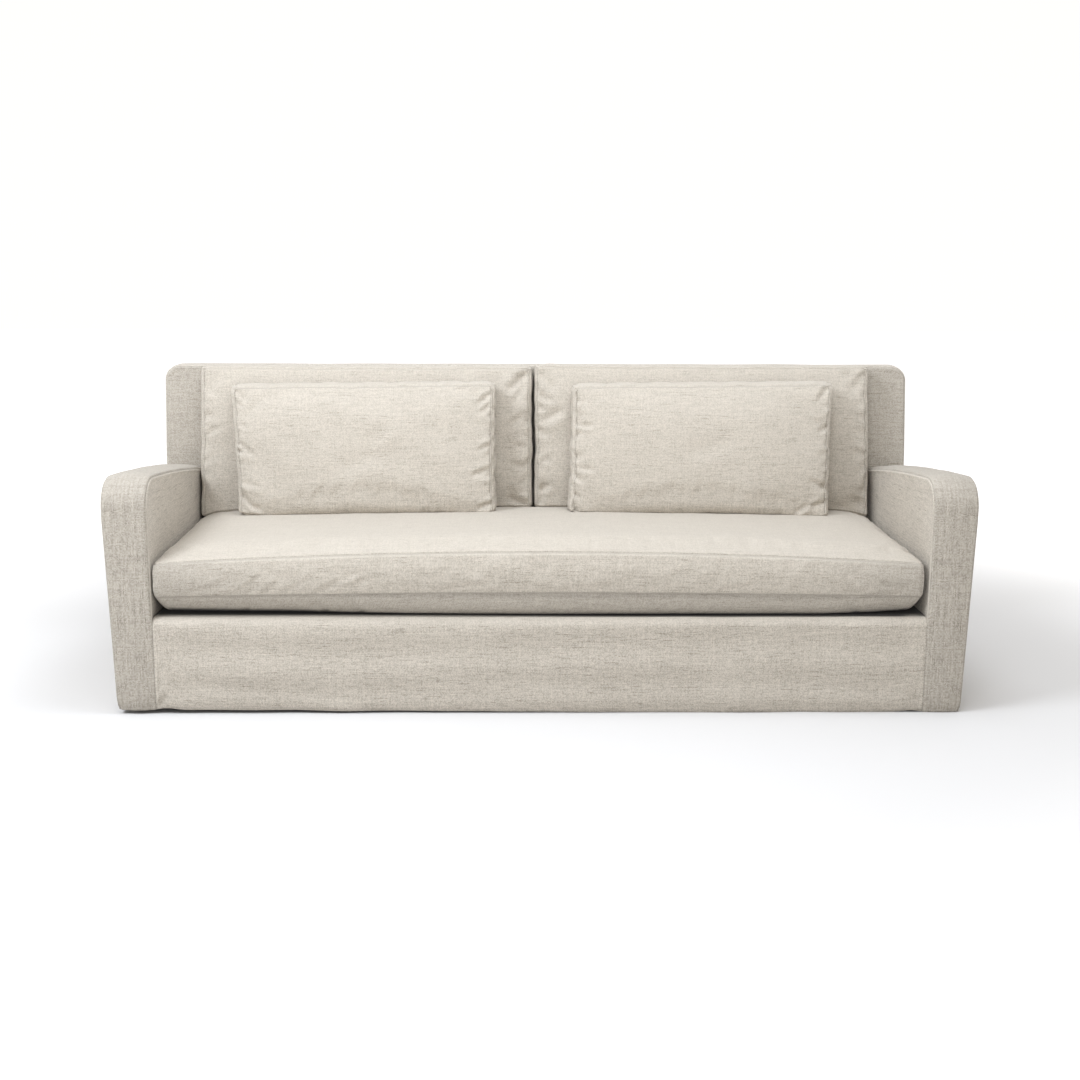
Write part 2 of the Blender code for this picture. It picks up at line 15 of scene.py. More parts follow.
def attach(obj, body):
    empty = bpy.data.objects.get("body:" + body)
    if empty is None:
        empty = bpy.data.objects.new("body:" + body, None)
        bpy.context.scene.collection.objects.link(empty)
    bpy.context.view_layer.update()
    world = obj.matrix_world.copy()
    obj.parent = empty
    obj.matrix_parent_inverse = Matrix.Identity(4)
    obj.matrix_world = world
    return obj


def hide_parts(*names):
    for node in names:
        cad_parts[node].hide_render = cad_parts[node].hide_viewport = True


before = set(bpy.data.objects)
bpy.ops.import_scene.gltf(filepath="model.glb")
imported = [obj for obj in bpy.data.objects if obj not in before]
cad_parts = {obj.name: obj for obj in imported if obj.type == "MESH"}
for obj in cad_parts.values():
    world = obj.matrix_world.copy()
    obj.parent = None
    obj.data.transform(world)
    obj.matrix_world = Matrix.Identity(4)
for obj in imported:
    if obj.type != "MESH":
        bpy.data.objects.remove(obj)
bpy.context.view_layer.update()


# ---------------------------------------------------------------- sizes of the cover

HALF = 1.100  # half width over the arms
DEPTH = 0.920
CLOTH = 0.002
GAP = 0.0002  # each panel stops this far short of its seam

HEM_TUCK = 0.006
HEM_TUCK_HEIGHT = 0.035
HEM_X = (-1.10, -0.60, 0.00, 0.40, 1.10)
HEM_Z = (0.011, 0.008, 0.003, 0.000, 0.000)

ARM_INSIDE = 0.985
ARM_CREST = 0.603
ARM_CORNER = 0.075
ARM_FALL = 0.07
ARM_DROOP = 0.075
SIDE_TAPER = 0.016
TAPER_TOP = 0.50
REAR_NARROWING = 0.003
FRONT_CROWN = 0.004
FRONT_Y = -DEPTH / 2 + FRONT_CROWN
TOP_CROWN = {"left": 0.011, "right": 0.009}

DECK = 0.251
APRON_ROLL = 0.022
APRON_RETURN = 0.085

BACK_Y = 0.270
BACK_Z = 0.542
BACK_LEAN = 0.15
BACK_TOP = 0.826
BACK_HALF = HALF - REAR_NARROWING
BACK_CORNER = 0.040
BACK_CROWN = 0.007
CROWN_FADE = 0.06
BACK_ARC_X = BACK_HALF - BACK_CORNER  # centres of its round corners, from the middle and the floor
BACK_ARC_Z = BACK_TOP - BACK_CORNER
BACK_STRIP_WIDTH = 0.16
BACK_STRIP_ROWS = 0.15  # the strip's rows are spaced over this width
REAR_BULGE = 0.003
REAR_SEAM = 0.460
REAR_FALL = 0.012
REAR_LEAN = 0.015

SEAT_MIDDLE = -0.004
SEAT_HALF = 0.975
SEAT_FRONT = -0.444
SEAT_REAR_GAP = 0.008
SEAT_SEAM = 0.391
SEAT_LOW_SEAM = 0.304
SEAT_BOW = 0.030
SEAT_BOW_FADE = 0.75
SEAT_LOW_BOW = 0.011
SEAT_CROWN = 0.026
SEAT_LIFT = 0.0003
SEAT_LENGTH = 0.69
SEAT_BOXING = 0.090

CUSHION_SIDES = {"left": (-0.974, -0.0215), "right": (-0.0055, 0.964)}
CUSHION_TOP = 0.825
CUSHION_FRONT = 0.160
CUSHION_BASE = 0.427
CUSHION_LEAN = 0.20
CUSHION_CROWN = 0.022
CUSHION_HEIGHT = 0.40
CUSHION_DEPTH = 0.10
CUSHION_OVER_SEAT = 0.005
CUSHION_OFF_BACK = 0.0006

LUMBAR_COLUMNS = ("low_middle", "low_half", "top_middle", "top_half", "top_left", "top_right")
LUMBARS = {
    "left": (-0.486, 0.357, -0.499, 0.371, 0.778, 0.787),
    "right": (0.457, 0.364, 0.472, 0.368, 0.781, 0.789),
}
LUMBAR_FRONT = 0.035
LUMBAR_LEAN = 0.277
LUMBAR_DEPTH = 0.072
LUMBAR_CROWN = 0.026
LUMBAR_REAR_CROWN = 0.020
LUMBAR_HEIGHT = 0.37
LUMBAR_OVER_SEAT = 0.003
LUMBAR_OFF_CUSHION = 0.0015


# ---------------------------------------------------------------- shared lines of the cover


def clamp(value):
    return np.clip(value, 0, 1)


def hem_height(x):
    return np.interp(x, HEM_X, HEM_Z)


def hem_tuck(rise):
    return HEM_TUCK * (1 - clamp(rise / HEM_TUCK_HEIGHT)) ** 2


def crown(fraction):
    return 1 - (2 * fraction - 1) ** 2


def puff(u, v, u_power, v_power):
    return (1 - np.abs(u) ** u_power) * (1 - np.abs(v) ** v_power)


def side_x(y, z, hem):
    """Half width of the cover, which tapers to the floor and a little to the rear."""
    lean = SIDE_TAPER * (1 - clamp(z / TAPER_TOP))
    narrowing = REAR_NARROWING * clamp((y + DEPTH / 2) / DEPTH)
    return HALF - lean - narrowing - hem_tuck(z - hem)


def back_y(z):
    return BACK_Y + (z - BACK_Z) * BACK_LEAN


def rear_y(z, hem):
    return REAR_SEAM - REAR_LEAN * (1 - z / BACK_TOP) - hem_tuck(z - hem)


def rear_fall(z):
    return REAR_FALL * clamp((z - BACK_TOP + BACK_CORNER) / BACK_CORNER)


ARC_END = math.pi / 2 - math.atan(ARM_FALL)
ARC_Y = FRONT_Y + ARM_CORNER
ARC_Z = ARM_CREST - ARM_CORNER
TOP_START_Y = ARC_Y + ARM_CORNER * math.cos(ARC_END)
TOP_START_Z = ARC_Z + ARM_CORNER * math.sin(ARC_END)


def arm_top(y):
    behind = y - TOP_START_Y
    return TOP_START_Z - ARM_FALL * behind - ARM_DROOP * behind**2


ARM_END_Y = back_y(arm_top(BACK_Y))
ARM_END_Z = arm_top(ARM_END_Y)


def arm_outline(start_z, end_y):
    """Points along an arm's seam line, from a height on its front, over its corner and back."""
    up = np.arange(start_z, ARC_Z, 0.004)
    angles = np.linspace(math.pi, ARC_END, 31)
    back = np.linspace(TOP_START_Y, end_y, 161)[1:]
    y = np.concatenate([np.full_like(up, FRONT_Y), ARC_Y + ARM_CORNER * np.cos(angles), back])
    z = np.concatenate([up, ARC_Z + ARM_CORNER * np.sin(angles), arm_top(back)])
    return y, z


def corner_shrink(across, up):
    """How much nearer to a corner's centre its points come, to lie on a round corner."""
    reach = np.maximum(np.hypot(across, up), 1e-9)
    return np.where((across > 0) & (up > 0), np.maximum(across, up) / reach, 1.0)


def round_corners(x, z):
    """Points near the back's two top corners, moved on to its round outline."""
    across = np.maximum(np.abs(x) - BACK_ARC_X, 0)
    up = np.maximum(z - BACK_ARC_Z, 0)
    shrink = corner_shrink(across, up)
    rounded_z = np.where(up > 0, BACK_ARC_Z + up * shrink, z)
    return np.sign(x) * (np.minimum(np.abs(x), BACK_ARC_X) + across * shrink), rounded_z


# ---------------------------------------------------------------- grids


SEAM_ROWS = (0.0, 0.0012, 0.0026, 0.0042, 0.0060, 0.0085, 0.012, 0.017, 0.024)


def lines(length, step, start_seam=True, end_seam=True):
    """Positions from 0 to length, about step apart, and closer together towards a seam."""
    rows = np.array(SEAM_ROWS)
    head = rows if start_seam else np.array([0.0])
    tail = length - (rows[::-1] if end_seam else np.array([0.0]))
    count = max(int(round((tail[0] - head[-1]) / step)), 1)
    return np.concatenate([head[:-1], np.linspace(head[-1], tail[0], count + 1), tail[1:]])


def grid_of(first, second):
    return np.meshgrid(first, second, indexing="ij")


def grid_normals(points):
    normal = np.cross(np.gradient(points, axis=0), np.gradient(points, axis=1))
    return normal / np.maximum(np.linalg.norm(normal, axis=2, keepdims=True), 1e-12)


def unit(vectors):
    return vectors / np.maximum(np.linalg.norm(vectors, axis=-1, keepdims=True), 1e-12)


def arc_lengths(points):
    """Distances along a grid's two directions, from its first column and its first row."""
    along_u = np.linalg.norm(np.diff(points, axis=0), axis=2)
    along_v = np.linalg.norm(np.diff(points, axis=1), axis=2)
    s = np.concatenate([np.zeros((1, points.shape[1])), np.cumsum(along_u, axis=0)])
    t = np.concatenate([np.zeros((points.shape[0], 1)), np.cumsum(along_v, axis=1)], axis=1)
    return s, t


# ---------------------------------------------------------------- relief of the cloth


def wander(s, t, amplitude, wavelength, seed, terms=7):
    """Slow unevenness: a few long soft waves that cross at different angles."""
    random = np.random.default_rng(seed)
    total = np.zeros_like(s)
    for _ in range(terms):
        angle = random.uniform(0, math.pi)
        length = wavelength * random.uniform(0.6, 1.7)
        phase = random.uniform(0, 2 * math.pi)
        total += np.sin(2 * math.pi * (s * math.cos(angle) + t * math.sin(angle)) / length + phase)
    return amplitude * total / math.sqrt(terms)


# The unevenness of each panel, in metres, and the seed of its draws.
UNEVEN_COLUMNS = ("amplitude", "wavelength", "seed")
UNEVEN = {
    "arm_strip_left": (0.0006, 0.16, 11),
    "arm_strip_right": (0.0006, 0.16, 12),
    "arm_inner_left": (0.0010, 0.22, 31),
    "arm_inner_right": (0.0010, 0.22, 32),
    "arm_outer_left": (0.0022, 0.42, 41),
    "arm_outer_right": (0.0022, 0.42, 42),
    "front_apron": (0.0016, 0.26, 51),
    "back_inner": (0.0007, 0.25, 61),
    "back_strip": (0.0007, 0.20, 71),
    "back_outer": (0.0012, 0.35, 81),
    "seat_boxing": (0.0009, 0.16, 112),
}


def unevenness(name, s, t):
    """The slow unevenness of one panel."""
    return wander(s, t, **dict(zip(UNEVEN_COLUMNS, UNEVEN[name])))


def bump(x):
    return np.exp(-(x**2))


# Relief beside an edge: ridges and grooves of a height, at a distance from the edge, that wide.
SEAM_COLUMNS = ("height", "at", "width")
SEAMS = {
    "plain": ((0.0006, 0.006, 0.0035), (-0.0004, 0.0105, 0.0015)),
    "welt": ((0.0015, 0.0014, 0.0016), (-0.0020, 0.0048, 0.0014)),
    "fine": ((-0.0008, 0.0012, 0.0012),),
    "tucked": ((-0.0016, 0.002, 0.0018),),
    "hem": ((0.0004, 0.0, 0.022), (-0.0006, 0.026, 0.0022)),
}


def seam_relief(distance, kind="plain"):
    """How far the cloth stands up at a distance from its edge."""
    rows = [dict(zip(SEAM_COLUMNS, row)) for row in SEAMS[kind]]
    return sum(row["height"] * bump((distance - row["at"]) / row["width"]) for row in rows)


def settled(distance, reach=0.012):
    """Fades a fold out towards a seam, where two panels have to meet."""
    return 1 - bump(distance / reach)


PUCKER_WIDTH = (0.0035, 0.0075)
PUCKER_SHARE = (0.35, 1.0)  # of the full reach, and of the full depth
PUCKER_RIDGES = 0.35  # the rest are troughs
PUCKER_SLANT = 0.5
PUCKER_SPREAD = 0.22
PUCKER_MIDDLE = 0.28  # where a pucker is deepest, and how it fades, as shares of its reach
PUCKER_FADE = 0.55


def puckers(along, distance, length, spacing, depth, reach, seed):
    """Short creases that run away from a gathered seam of that length."""
    random = np.random.default_rng(seed)
    total = np.zeros_like(along)
    for _ in range(int(length / spacing)):
        place = random.uniform(0, length)
        width = random.uniform(*PUCKER_WIDTH)
        extent = reach * random.uniform(*PUCKER_SHARE)
        size = depth * random.uniform(*PUCKER_SHARE) * (1 if random.uniform() < PUCKER_RIDGES else -1)
        slant = random.uniform(-PUCKER_SLANT, PUCKER_SLANT)
        across = (along - place - slant * distance) / (width + PUCKER_SPREAD * distance)
        fade = bump((distance - PUCKER_MIDDLE * extent) / (PUCKER_FADE * extent))
        total += size * bump(across) * fade
    return total


FOLD_STRENGTH = 1.5
FOLD_CORE = 0.25  # half the share of its length that keeps its full depth
FOLD_FADE = 0.22
RIDGE_SHARE = 0.6
RIDGE_AT = 1.3  # widths beside the trough
CREASE_COLUMNS = ("from_s", "from_t", "to_s", "to_t", "width", "depth")


def creases(s, t, table):
    """Soft folds, given one by one: each a trough with a low ridge beside it."""
    total = np.zeros_like(s)
    for row in table:
        fold = dict(zip(CREASE_COLUMNS, row))
        way_s = fold["to_s"] - fold["from_s"]
        way_t = fold["to_t"] - fold["from_t"]
        length = math.hypot(way_s, way_t)
        way_s /= length
        way_t /= length
        along = ((s - fold["from_s"]) * way_s + (t - fold["from_t"]) * way_t) / length
        across = ((s - fold["from_s"]) * way_t - (t - fold["from_t"]) * way_s) / fold["width"]
        fade = bump(np.maximum(np.abs(along - 0.5) - FOLD_CORE, 0) / FOLD_FADE)
        profile = RIDGE_SHARE * bump(across - RIDGE_AT) - bump(across)
        total += FOLD_STRENGTH * fade * fold["depth"] * profile
    return total


MITRE = 1 - 1 / math.sqrt(2)
SEAM_GROOVE = 0.0006
GROOVE_WIDTH = 0.0016
FULL_ROUND = 0.004  # an edge this round or rounder has its whole groove


def rolled(distance, radius):
    """How far a panel's edge moves in and down, so that two panels meet in a round corner.

    Each panel makes half of the quarter turn, with a fine groove along the seam itself.
    """
    beyond = np.clip(radius - distance, 0, None)
    lateral = radius - beyond * (1 - MITRE)
    sunk = radius - np.sqrt(np.maximum(radius**2 - np.clip(radius - lateral, 0, None) ** 2, 0))
    groove = SEAM_GROOVE * bump(distance / GROOVE_WIDTH) / math.sqrt(2)
    roundness = clamp(radius / FULL_ROUND)
    return MITRE * beyond + groove * roundness, sunk + groove


def round_off(points, distance, way, normal, radius):
    """Rounds the edge of a panel at a seam, given the distance to it and the way in from it."""
    shift, sunk = rolled(distance, radius)
    return points + way * shift[..., None] - normal * sunk[..., None]


def outward_grid(points, facing):
    """Normals of a grid of points, on the side that faces a way at the grid's middle."""
    normal = grid_normals(points)
    columns, rows = points.shape[:2]
    return normal * np.sign(np.dot(normal[columns // 2, rows // 2], facing))


# ---------------------------------------------------------------- meshes


# How dark the seam and hem lines are: partly the seams' own dark joints, partly painted shade.
SEAM_LINE = 0.28
HEM_LINE = 0.20
LINE_WIDTH = 0.0011
FLOOR_CLEARANCE = 0.0003
SHARP_ANGLE = math.radians(70)


def seam_shade(distance, centre=0.0):
    """The fine dark line of a sewn seam, partly the seam's own dark joint and partly painted shade in its
    fold.
    """
    return bump((distance - centre) / LINE_WIDTH)


def add_object(name, data):
    made = bpy.data.objects.new(name, data)
    bpy.context.scene.collection.objects.link(made)
    return made


def make_object(name, points, faces, uv, shade, material):
    mesh = bpy.data.meshes.new(name)
    mesh.from_pydata(points.reshape(-1, 3).tolist(), [], faces)
    corners = np.zeros(len(mesh.loops), dtype=np.int64)
    mesh.loops.foreach_get("vertex_index", corners)
    layer = mesh.uv_layers.new(name="cloth")
    layer.data.foreach_set("uv", uv[corners].astype(np.float32).ravel())
    darkness = mesh.attributes.new("shade", "FLOAT", "POINT")
    darkness.data.foreach_set("value", clamp(shade).astype(np.float32).ravel())
    mesh.shade_smooth()
    mesh.set_sharp_from_angle(angle=SHARP_ANGLE)
    mesh.materials.append(material)
    return add_object(name, mesh)


def grid_faces(columns, rows, keep=None):
    i, j = grid_of(np.arange(columns - 1), np.arange(rows - 1))
    chosen = np.ones(i.shape, bool) if keep is None else keep
    i = i[chosen]
    j = j[chosen]
    corner = i * rows + j
    return np.stack([corner, corner + rows, corner + rows + 1, corner + 1], axis=1)


def cloth_sheet(name, points, facing, shade, material, keep=None):
    """A closed thin sheet whose shown face is a grid of points."""
    columns, rows = points.shape[:2]
    normal = outward_grid(points, facing)
    hidden = points - normal * CLOTH
    points = points.copy()
    for side in (points, hidden):
        side[..., 2] = np.maximum(side[..., 2], FLOOR_CLEARANCE)
    size = columns * rows
    shown = grid_faces(columns, rows, keep)
    middle = (columns // 2, rows // 2)
    if np.dot(normal[middle], grid_normals(points)[middle]) < 0:
        shown = shown[:, ::-1]
    directed = {}
    for face in shown:
        for a, b in zip(face, np.roll(face, -1)):
            directed[(int(a), int(b))] = True
    rims = [[b, a, size + a, size + b] for a, b in directed if (b, a) not in directed]
    faces = shown.tolist() + (shown[:, ::-1] + size).tolist() + rims
    used = np.unique(np.array(faces).ravel())
    place = np.zeros(2 * size, dtype=np.int64)
    place[used] = np.arange(len(used))
    s, t = arc_lengths(points)
    uv = np.stack([s, t], axis=2).reshape(-1, 2)
    both = np.concatenate([points.reshape(-1, 3), hidden.reshape(-1, 3)])[used]
    uv = np.tile(uv, (2, 1))[used]
    shade = np.tile(np.broadcast_to(shade, (columns, rows)).ravel(), 2)[used]
    return make_object(name, both, place[np.array(faces)].tolist(), uv, shade, material)


# ---------------------------------------------------------------- linen


YARN_APART = 7.31  # keeps the noise of one yarn clear of the next one's
OATMEAL = (0.482, 0.440, 0.379)
DARK_YARN = (0.42, 0.40, 0.36)  # shares of the linen's colour, as the two after it
MIDDLE_YARN = (1.0, 1.0, 1.0)
LIGHT_YARN = (1.5, 1.5, 1.5)

# Unevenness of the yarn: its own rate along the cloth per metre, and its share of the tone.
YARN_COLUMNS = ("way", "rate", "share")
YARNS = (
    ("weft", 24.0, 0.54),
    ("weft", 5.0, 0.32),
    ("warp", 22.0, 0.34),
    ("warp", 6.0, 0.22),
)
SLUB_RATE = 15.0
SLUB_START = 0.635
SLUB_SHARPNESS = 8.0
MOTTLE_ACROSS = 7.0
MOTTLE_UP = 16.0
MOTTLE_DETAIL = 3.0
MOTTLE_SHARE = 0.05
# How far the shade attribute, which holds painted shade, darkens the linen's colour at full strength.
SHADE_DEPTH = 0.90
WASHED = 0.55  # a face that looks up is lit so fully that its yarns show less
WEAVE_RELIEF = 0.12
SLUB_RELIEF = 0.3
LINEN_SURFACE = {
    "Roughness": 0.92,
    "Specular IOR Level": 0.22,
    "Sheen Weight": 0.10,
    "Sheen Roughness": 0.5,
}

# Each linen's tone, the contrast of its yarns, how wide a thread is, how much single crossings and
# slubs show, and which way its weft lies on the UV map. A tone below 1 is painted shade: the strip
# linen of the arms and the back linen of the inside back are darker copies of the same cloth, the
# strip linen with its own weave besides.
LINEN_COLUMNS = ("tone", "contrast", "thread", "crossing", "slub", "weft")
LINENS = {
    "panel_linen": (1.00, 1.06, 0.0022, 0.68, 0.34, "level"),
    "shaded_strip_linen": (0.815, 1.48, 0.0028, 0.44, 0.14, "upright"),
    "cushion_linen": (1.00, 0.90, 0.0022, 0.68, 0.34, "level"),
    "shaded_back_linen": (0.84, 1.04, 0.0022, 0.68, 0.34, "level"),
}


class Nodes:
    """Short ways to add shader nodes to one material or world."""

    def __init__(self, tree):
        self.tree = tree

    def add(self, kind, **settings):
        node = self.tree.nodes.new("ShaderNode" + kind)
        for setting, value in settings.items():
            setattr(node, setting, value)
        return node

    def feed(self, socket, value):
        """Links a socket to another node's output, or sets its own value."""
        if isinstance(value, bpy.types.NodeSocket):
            self.tree.links.new(value, socket)
        else:
            socket.default_value = value

    def fill(self, node, values):
        for socket, value in values.items():
            self.feed(node.inputs[socket], value)

    def math(self, operation, *values):
        node = self.add("Math", operation=operation)
        for socket, value in zip(node.inputs, values):
            self.feed(socket, value)
        return node.outputs[0]

    def times(self, first, second):
        return self.math("MULTIPLY", first, second)

    def total(self, *values):
        result = values[0]
        for value in values[1:]:
            result = self.math("ADD", result, value)
        return result

    def point(self, x, y):
        node = self.add("CombineXYZ")
        self.feed(node.inputs[0], x)
        self.feed(node.inputs[1], y)
        return node.outputs[0]

    def axes(self, vector):
        node = self.add("SeparateXYZ")
        self.feed(node.inputs[0], vector)
        return node.outputs

    def noise(self, x, y, detail=1.0):
        """Noise about zero, a little over a tenth either way."""
        node = self.add("TexNoise", noise_dimensions="2D")
        self.fill(node, {"Scale": 1.0, "Detail": detail, "Vector": self.point(x, y)})
        return self.math("SUBTRACT", node.outputs[0], 0.5)


def node_material(name):
    """A new material, its nodes and its shader."""
    material = bpy.data.materials.new(name)
    material.use_nodes = True
    return material, Nodes(material.node_tree), material.node_tree.nodes["Principled BSDF"]


def linen(name):
    """Heavy slub linen in plain weave. The UV map is the cloth's own surface, in metres."""
    look = dict(zip(LINEN_COLUMNS, LINENS[name]))
    material, nodes, shader = node_material(name)
    nodes.fill(shader, LINEN_SURFACE)
    across, up, _ = nodes.axes(nodes.add("UVMap", uv_map="cloth").outputs[0])
    if look["weft"] == "upright":
        across, up = up, across
    pick = nodes.math("FLOOR", nodes.math("DIVIDE", up, look["thread"]))
    end = nodes.math("FLOOR", nodes.math("DIVIDE", across, look["thread"]))

    def yarn(way, rate):
        """One value along each weft or warp yarn, different for each yarn."""
        along, number = (across, pick) if way == "weft" else (up, end)
        return nodes.noise(nodes.times(along, rate), nodes.times(number, YARN_APART))

    parts = []
    for row in YARNS:
        kind = dict(zip(YARN_COLUMNS, row))
        parts.append(nodes.times(yarn(kind["way"], kind["rate"]), kind["share"]))
    uneven = nodes.total(*parts)
    crossing = nodes.add("TexWhiteNoise", noise_dimensions="2D")
    nodes.feed(crossing.inputs["Vector"], nodes.point(end, pick))
    speck = nodes.times(nodes.math("SUBTRACT", crossing.outputs[0], 0.5), look["crossing"])
    thick = nodes.math("SUBTRACT", yarn("weft", SLUB_RATE), SLUB_START - 0.5)
    thick = nodes.times(thick, SLUB_SHARPNESS)
    slub = nodes.math("MINIMUM", nodes.math("MAXIMUM", thick, 0.0), 1.0)
    mottle = nodes.noise(
        nodes.times(across, MOTTLE_ACROSS),
        nodes.times(up, MOTTLE_UP),
        MOTTLE_DETAIL,
    )
    tone = nodes.total(
        uneven,
        speck,
        nodes.times(slub, -look["slub"]),
        nodes.times(mottle, MOTTLE_SHARE),
    )
    colour = yarn_colours(nodes, tone, look)
    # The shade attribute darkens the colour: painted shade along the seams, under the seat cushion, on the
    # deck, in the crack between the back cushions and towards the seat's ends.
    shade = nodes.add("Attribute", attribute_name="shade")
    darken = nodes.add("VectorMath", operation="SCALE")
    kept = nodes.math("SUBTRACT", 1.0, nodes.times(shade.outputs["Fac"], SHADE_DEPTH))
    nodes.fill(darken, {0: colour, "Scale": kept})
    nodes.feed(shader.inputs["Base Color"], darken.outputs[0])

    ribs = []
    for way in (across, up):
        ribs.append(nodes.math("SINE", nodes.times(way, 2 * math.pi / look["thread"])))
    weave = nodes.times(nodes.times(*ribs), WEAVE_RELIEF)
    relief = nodes.add("Bump")
    height = nodes.total(uneven, weave, nodes.times(slub, SLUB_RELIEF))
    nodes.fill(relief, {"Strength": 0.5, "Distance": 0.0012, "Height": height})
    nodes.feed(shader.inputs["Normal"], relief.outputs[0])
    return material


def yarn_colours(nodes, tone, look):
    """The linen's colour from dark yarns to light ones, with less contrast on faces that look up."""
    ramp = nodes.add("ValToRGB")
    elements = ramp.color_ramp.elements
    elements.new(0.5)
    for element, shares in zip(elements, (DARK_YARN, MIDDLE_YARN, LIGHT_YARN)):
        shares = [min(look["tone"] * c * share, 1.0) for c, share in zip(OATMEAL, shares)]
        element.color = (*shares, 1.0)
    _, _, looks_up = nodes.axes(nodes.add("NewGeometry").outputs["Normal"])
    washed = nodes.times(nodes.math("MAXIMUM", looks_up, 0.0), -WASHED)
    strength = nodes.times(nodes.math("ADD", washed, 1.0), look["contrast"] / 2)
    spread = nodes.times(tone, strength)
    nodes.feed(ramp.inputs[0], nodes.math("ADD", spread, 0.5))
    return ramp.outputs[0]


PANEL_LINEN = linen("panel_linen")
# The strip and back linens are darker copies of the panel linen: painted shade.
SHADED_STRIP_LINEN = linen("shaded_strip_linen")
CUSHION_LINEN = linen("cushion_linen")
SHADED_BACK_LINEN = linen("shaded_back_linen")


def dress(piece, node):
    """Puts a finished piece in place of its CAD node."""
    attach(piece, "root")
    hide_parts(node)


def make_panel(kind, side, points, facing, shade, flat, area=None, material=PANEL_LINEN, keep=None):
    """Makes a panel's sheet in place of its CAD node; side is empty where there is one of its kind."""
    end = f"_{side}" if side else ""
    piece = cloth_sheet(f"{kind}_cloth{end}", points, facing, shade, material, keep)
    dress(piece, kind + end)


# ---------------------------------------------------------------- the arms


CORNER_RADIUS = 0.007
INNER_RADIUS = 0.010
ROUND_FROM = 0.012  # the strip's inner edge starts to be round this far below the deck
ROUND_FADE = 0.03
FLUSH_FADE = 0.02
SIGNS = {"left": -1, "right": 1}
STRIP_FACING = (0, -0.6, 0.8)
STRIP_SEEDS = {"left": (21, 23), "right": (22, 24)}  # of the gathers at its inner and outer seams
STRIP_GATHERS = {"spacing": 0.05, "depth": 0.0010, "reach": 0.03}
ARM_INNER_HEIGHT = 0.35  # the rows of the two side panels are spaced over these heights
ARM_OUTER_HEIGHT = 0.58
SLACK = 0.0006  # how far an arm's side panels lie in, on average


def inner_radius(z):
    """The strip's inner edge is round above the deck, and flat beside the apron."""
    return INNER_RADIUS * clamp((z - DECK + ROUND_FROM) / ROUND_FADE)


def outer_radius(y):
    """The arm's outer edge is round in front of the back, and flush below the back's strip."""
    return CORNER_RADIUS * clamp((ARM_END_Y - y) / FLUSH_FADE)


def arm_strip(side):
    """Up the arm's front from the hem, over its corner and back along its top."""
    sign = SIGNS[side]
    hem = float(hem_height(sign * HALF))
    path_y, path_z = arm_outline(hem, ARM_END_Y - GAP)
    path_y = path_y + hem_tuck(path_z - hem) * (path_y <= FRONT_Y)
    length = np.concatenate([[0], np.cumsum(np.hypot(np.diff(path_y), np.diff(path_z)))])
    along = lines(length[-1], step=0.007, start_seam=False)
    width = HALF - ARM_INSIDE
    share = lines(width, step=0.006) / width
    share_grid, along_grid = grid_of(share, along)
    y = np.interp(along_grid, length, path_y)
    z = np.interp(along_grid, length, path_z)
    inner = ARM_INSIDE + GAP
    outer = side_x(y, z, hem) - GAP
    points = np.stack([sign * (inner + (outer - inner) * share_grid), y, z], axis=2)
    ways = unit(np.gradient(points, axis=0))
    s, t = arc_lengths(points)
    to_outer = s[-1:] - s
    normal = outward_grid(points, STRIP_FACING)
    points = round_off(points, s, ways, normal, inner_radius(z))
    points = round_off(points, to_outer, -ways, normal, outer_radius(y))
    normal = outward_grid(points, STRIP_FACING)
    turned = clamp((along_grid - (ARC_Z - hem)) / (ARM_CORNER * 1.4))
    swell = crown(share_grid) * (FRONT_CROWN + (TOP_CROWN[side] - FRONT_CROWN) * turned)
    uneven = unevenness(f"arm_strip_{side}", s, t)
    for distance, seed in zip((s, to_outer), STRIP_SEEDS[side]):
        uneven = uneven + puckers(t, distance, length[-1], **STRIP_GATHERS, seed=seed)
    rise = swell + uneven * settled(s) * settled(to_outer)
    rise = rise + seam_relief(s) + seam_relief(to_outer)
    rise = rise + seam_relief(along_grid, "hem")
    points = points + normal * rise[..., None]
    shade = SEAM_LINE * (0.6 * seam_shade(s) + seam_shade(to_outer)) + HEM_LINE * seam_shade(along_grid)
    flat = (width, float(length[-1]))
    make_panel("arm_strip", side, points, STRIP_FACING, shade, flat, material=SHADED_STRIP_LINEN)


def arm_edge(y, z):
    """Distance to an arm's front and top seam line, and the way in from it, in Y and Z."""
    in_corner = (y < ARC_Y) & (z > ARC_Z)
    reach = np.maximum(np.hypot(y - ARC_Y, z - ARC_Z), 1e-9)
    slope = ARM_FALL + 2 * ARM_DROOP * np.maximum(y - TOP_START_Y, 0)
    steep = np.sqrt(1 + slope**2)
    to_top = (arm_top(y) - z) / steep
    to_front = y - FRONT_Y
    top_nearer = to_top < to_front
    distance = np.where(in_corner, ARM_CORNER - reach, np.minimum(to_top, to_front))
    way_y = np.where(in_corner, (ARC_Y - y) / reach, np.where(top_nearer, -slope / steep, 1.0))
    way_z = np.where(in_corner, (ARC_Z - z) / reach, np.where(top_nearer, -1 / steep, 0.0))
    return np.maximum(distance, 0), way_y, way_z


def apron_height(y):
    """Height of the apron's rolled top edge."""
    into = np.clip(y - FRONT_Y, 0, APRON_ROLL)
    return DECK - APRON_ROLL + np.sqrt(APRON_ROLL**2 - (APRON_ROLL - into) ** 2)


def arm_columns(end_y, step):
    """Y and Z of the seam line over the columns of an arm's side panel."""
    angles = np.linspace(math.pi, ARC_END, 17)
    along = TOP_START_Y + lines(end_y - TOP_START_Y, step, start_seam=False)[1:]
    y = np.concatenate([ARC_Y + ARM_CORNER * np.cos(angles), along])
    z = np.concatenate([ARC_Z + ARM_CORNER * np.sin(angles), arm_top(along)])
    return y, z


ARC_EXTRA = 0.01  # the surface is about this much longer than its straight measure


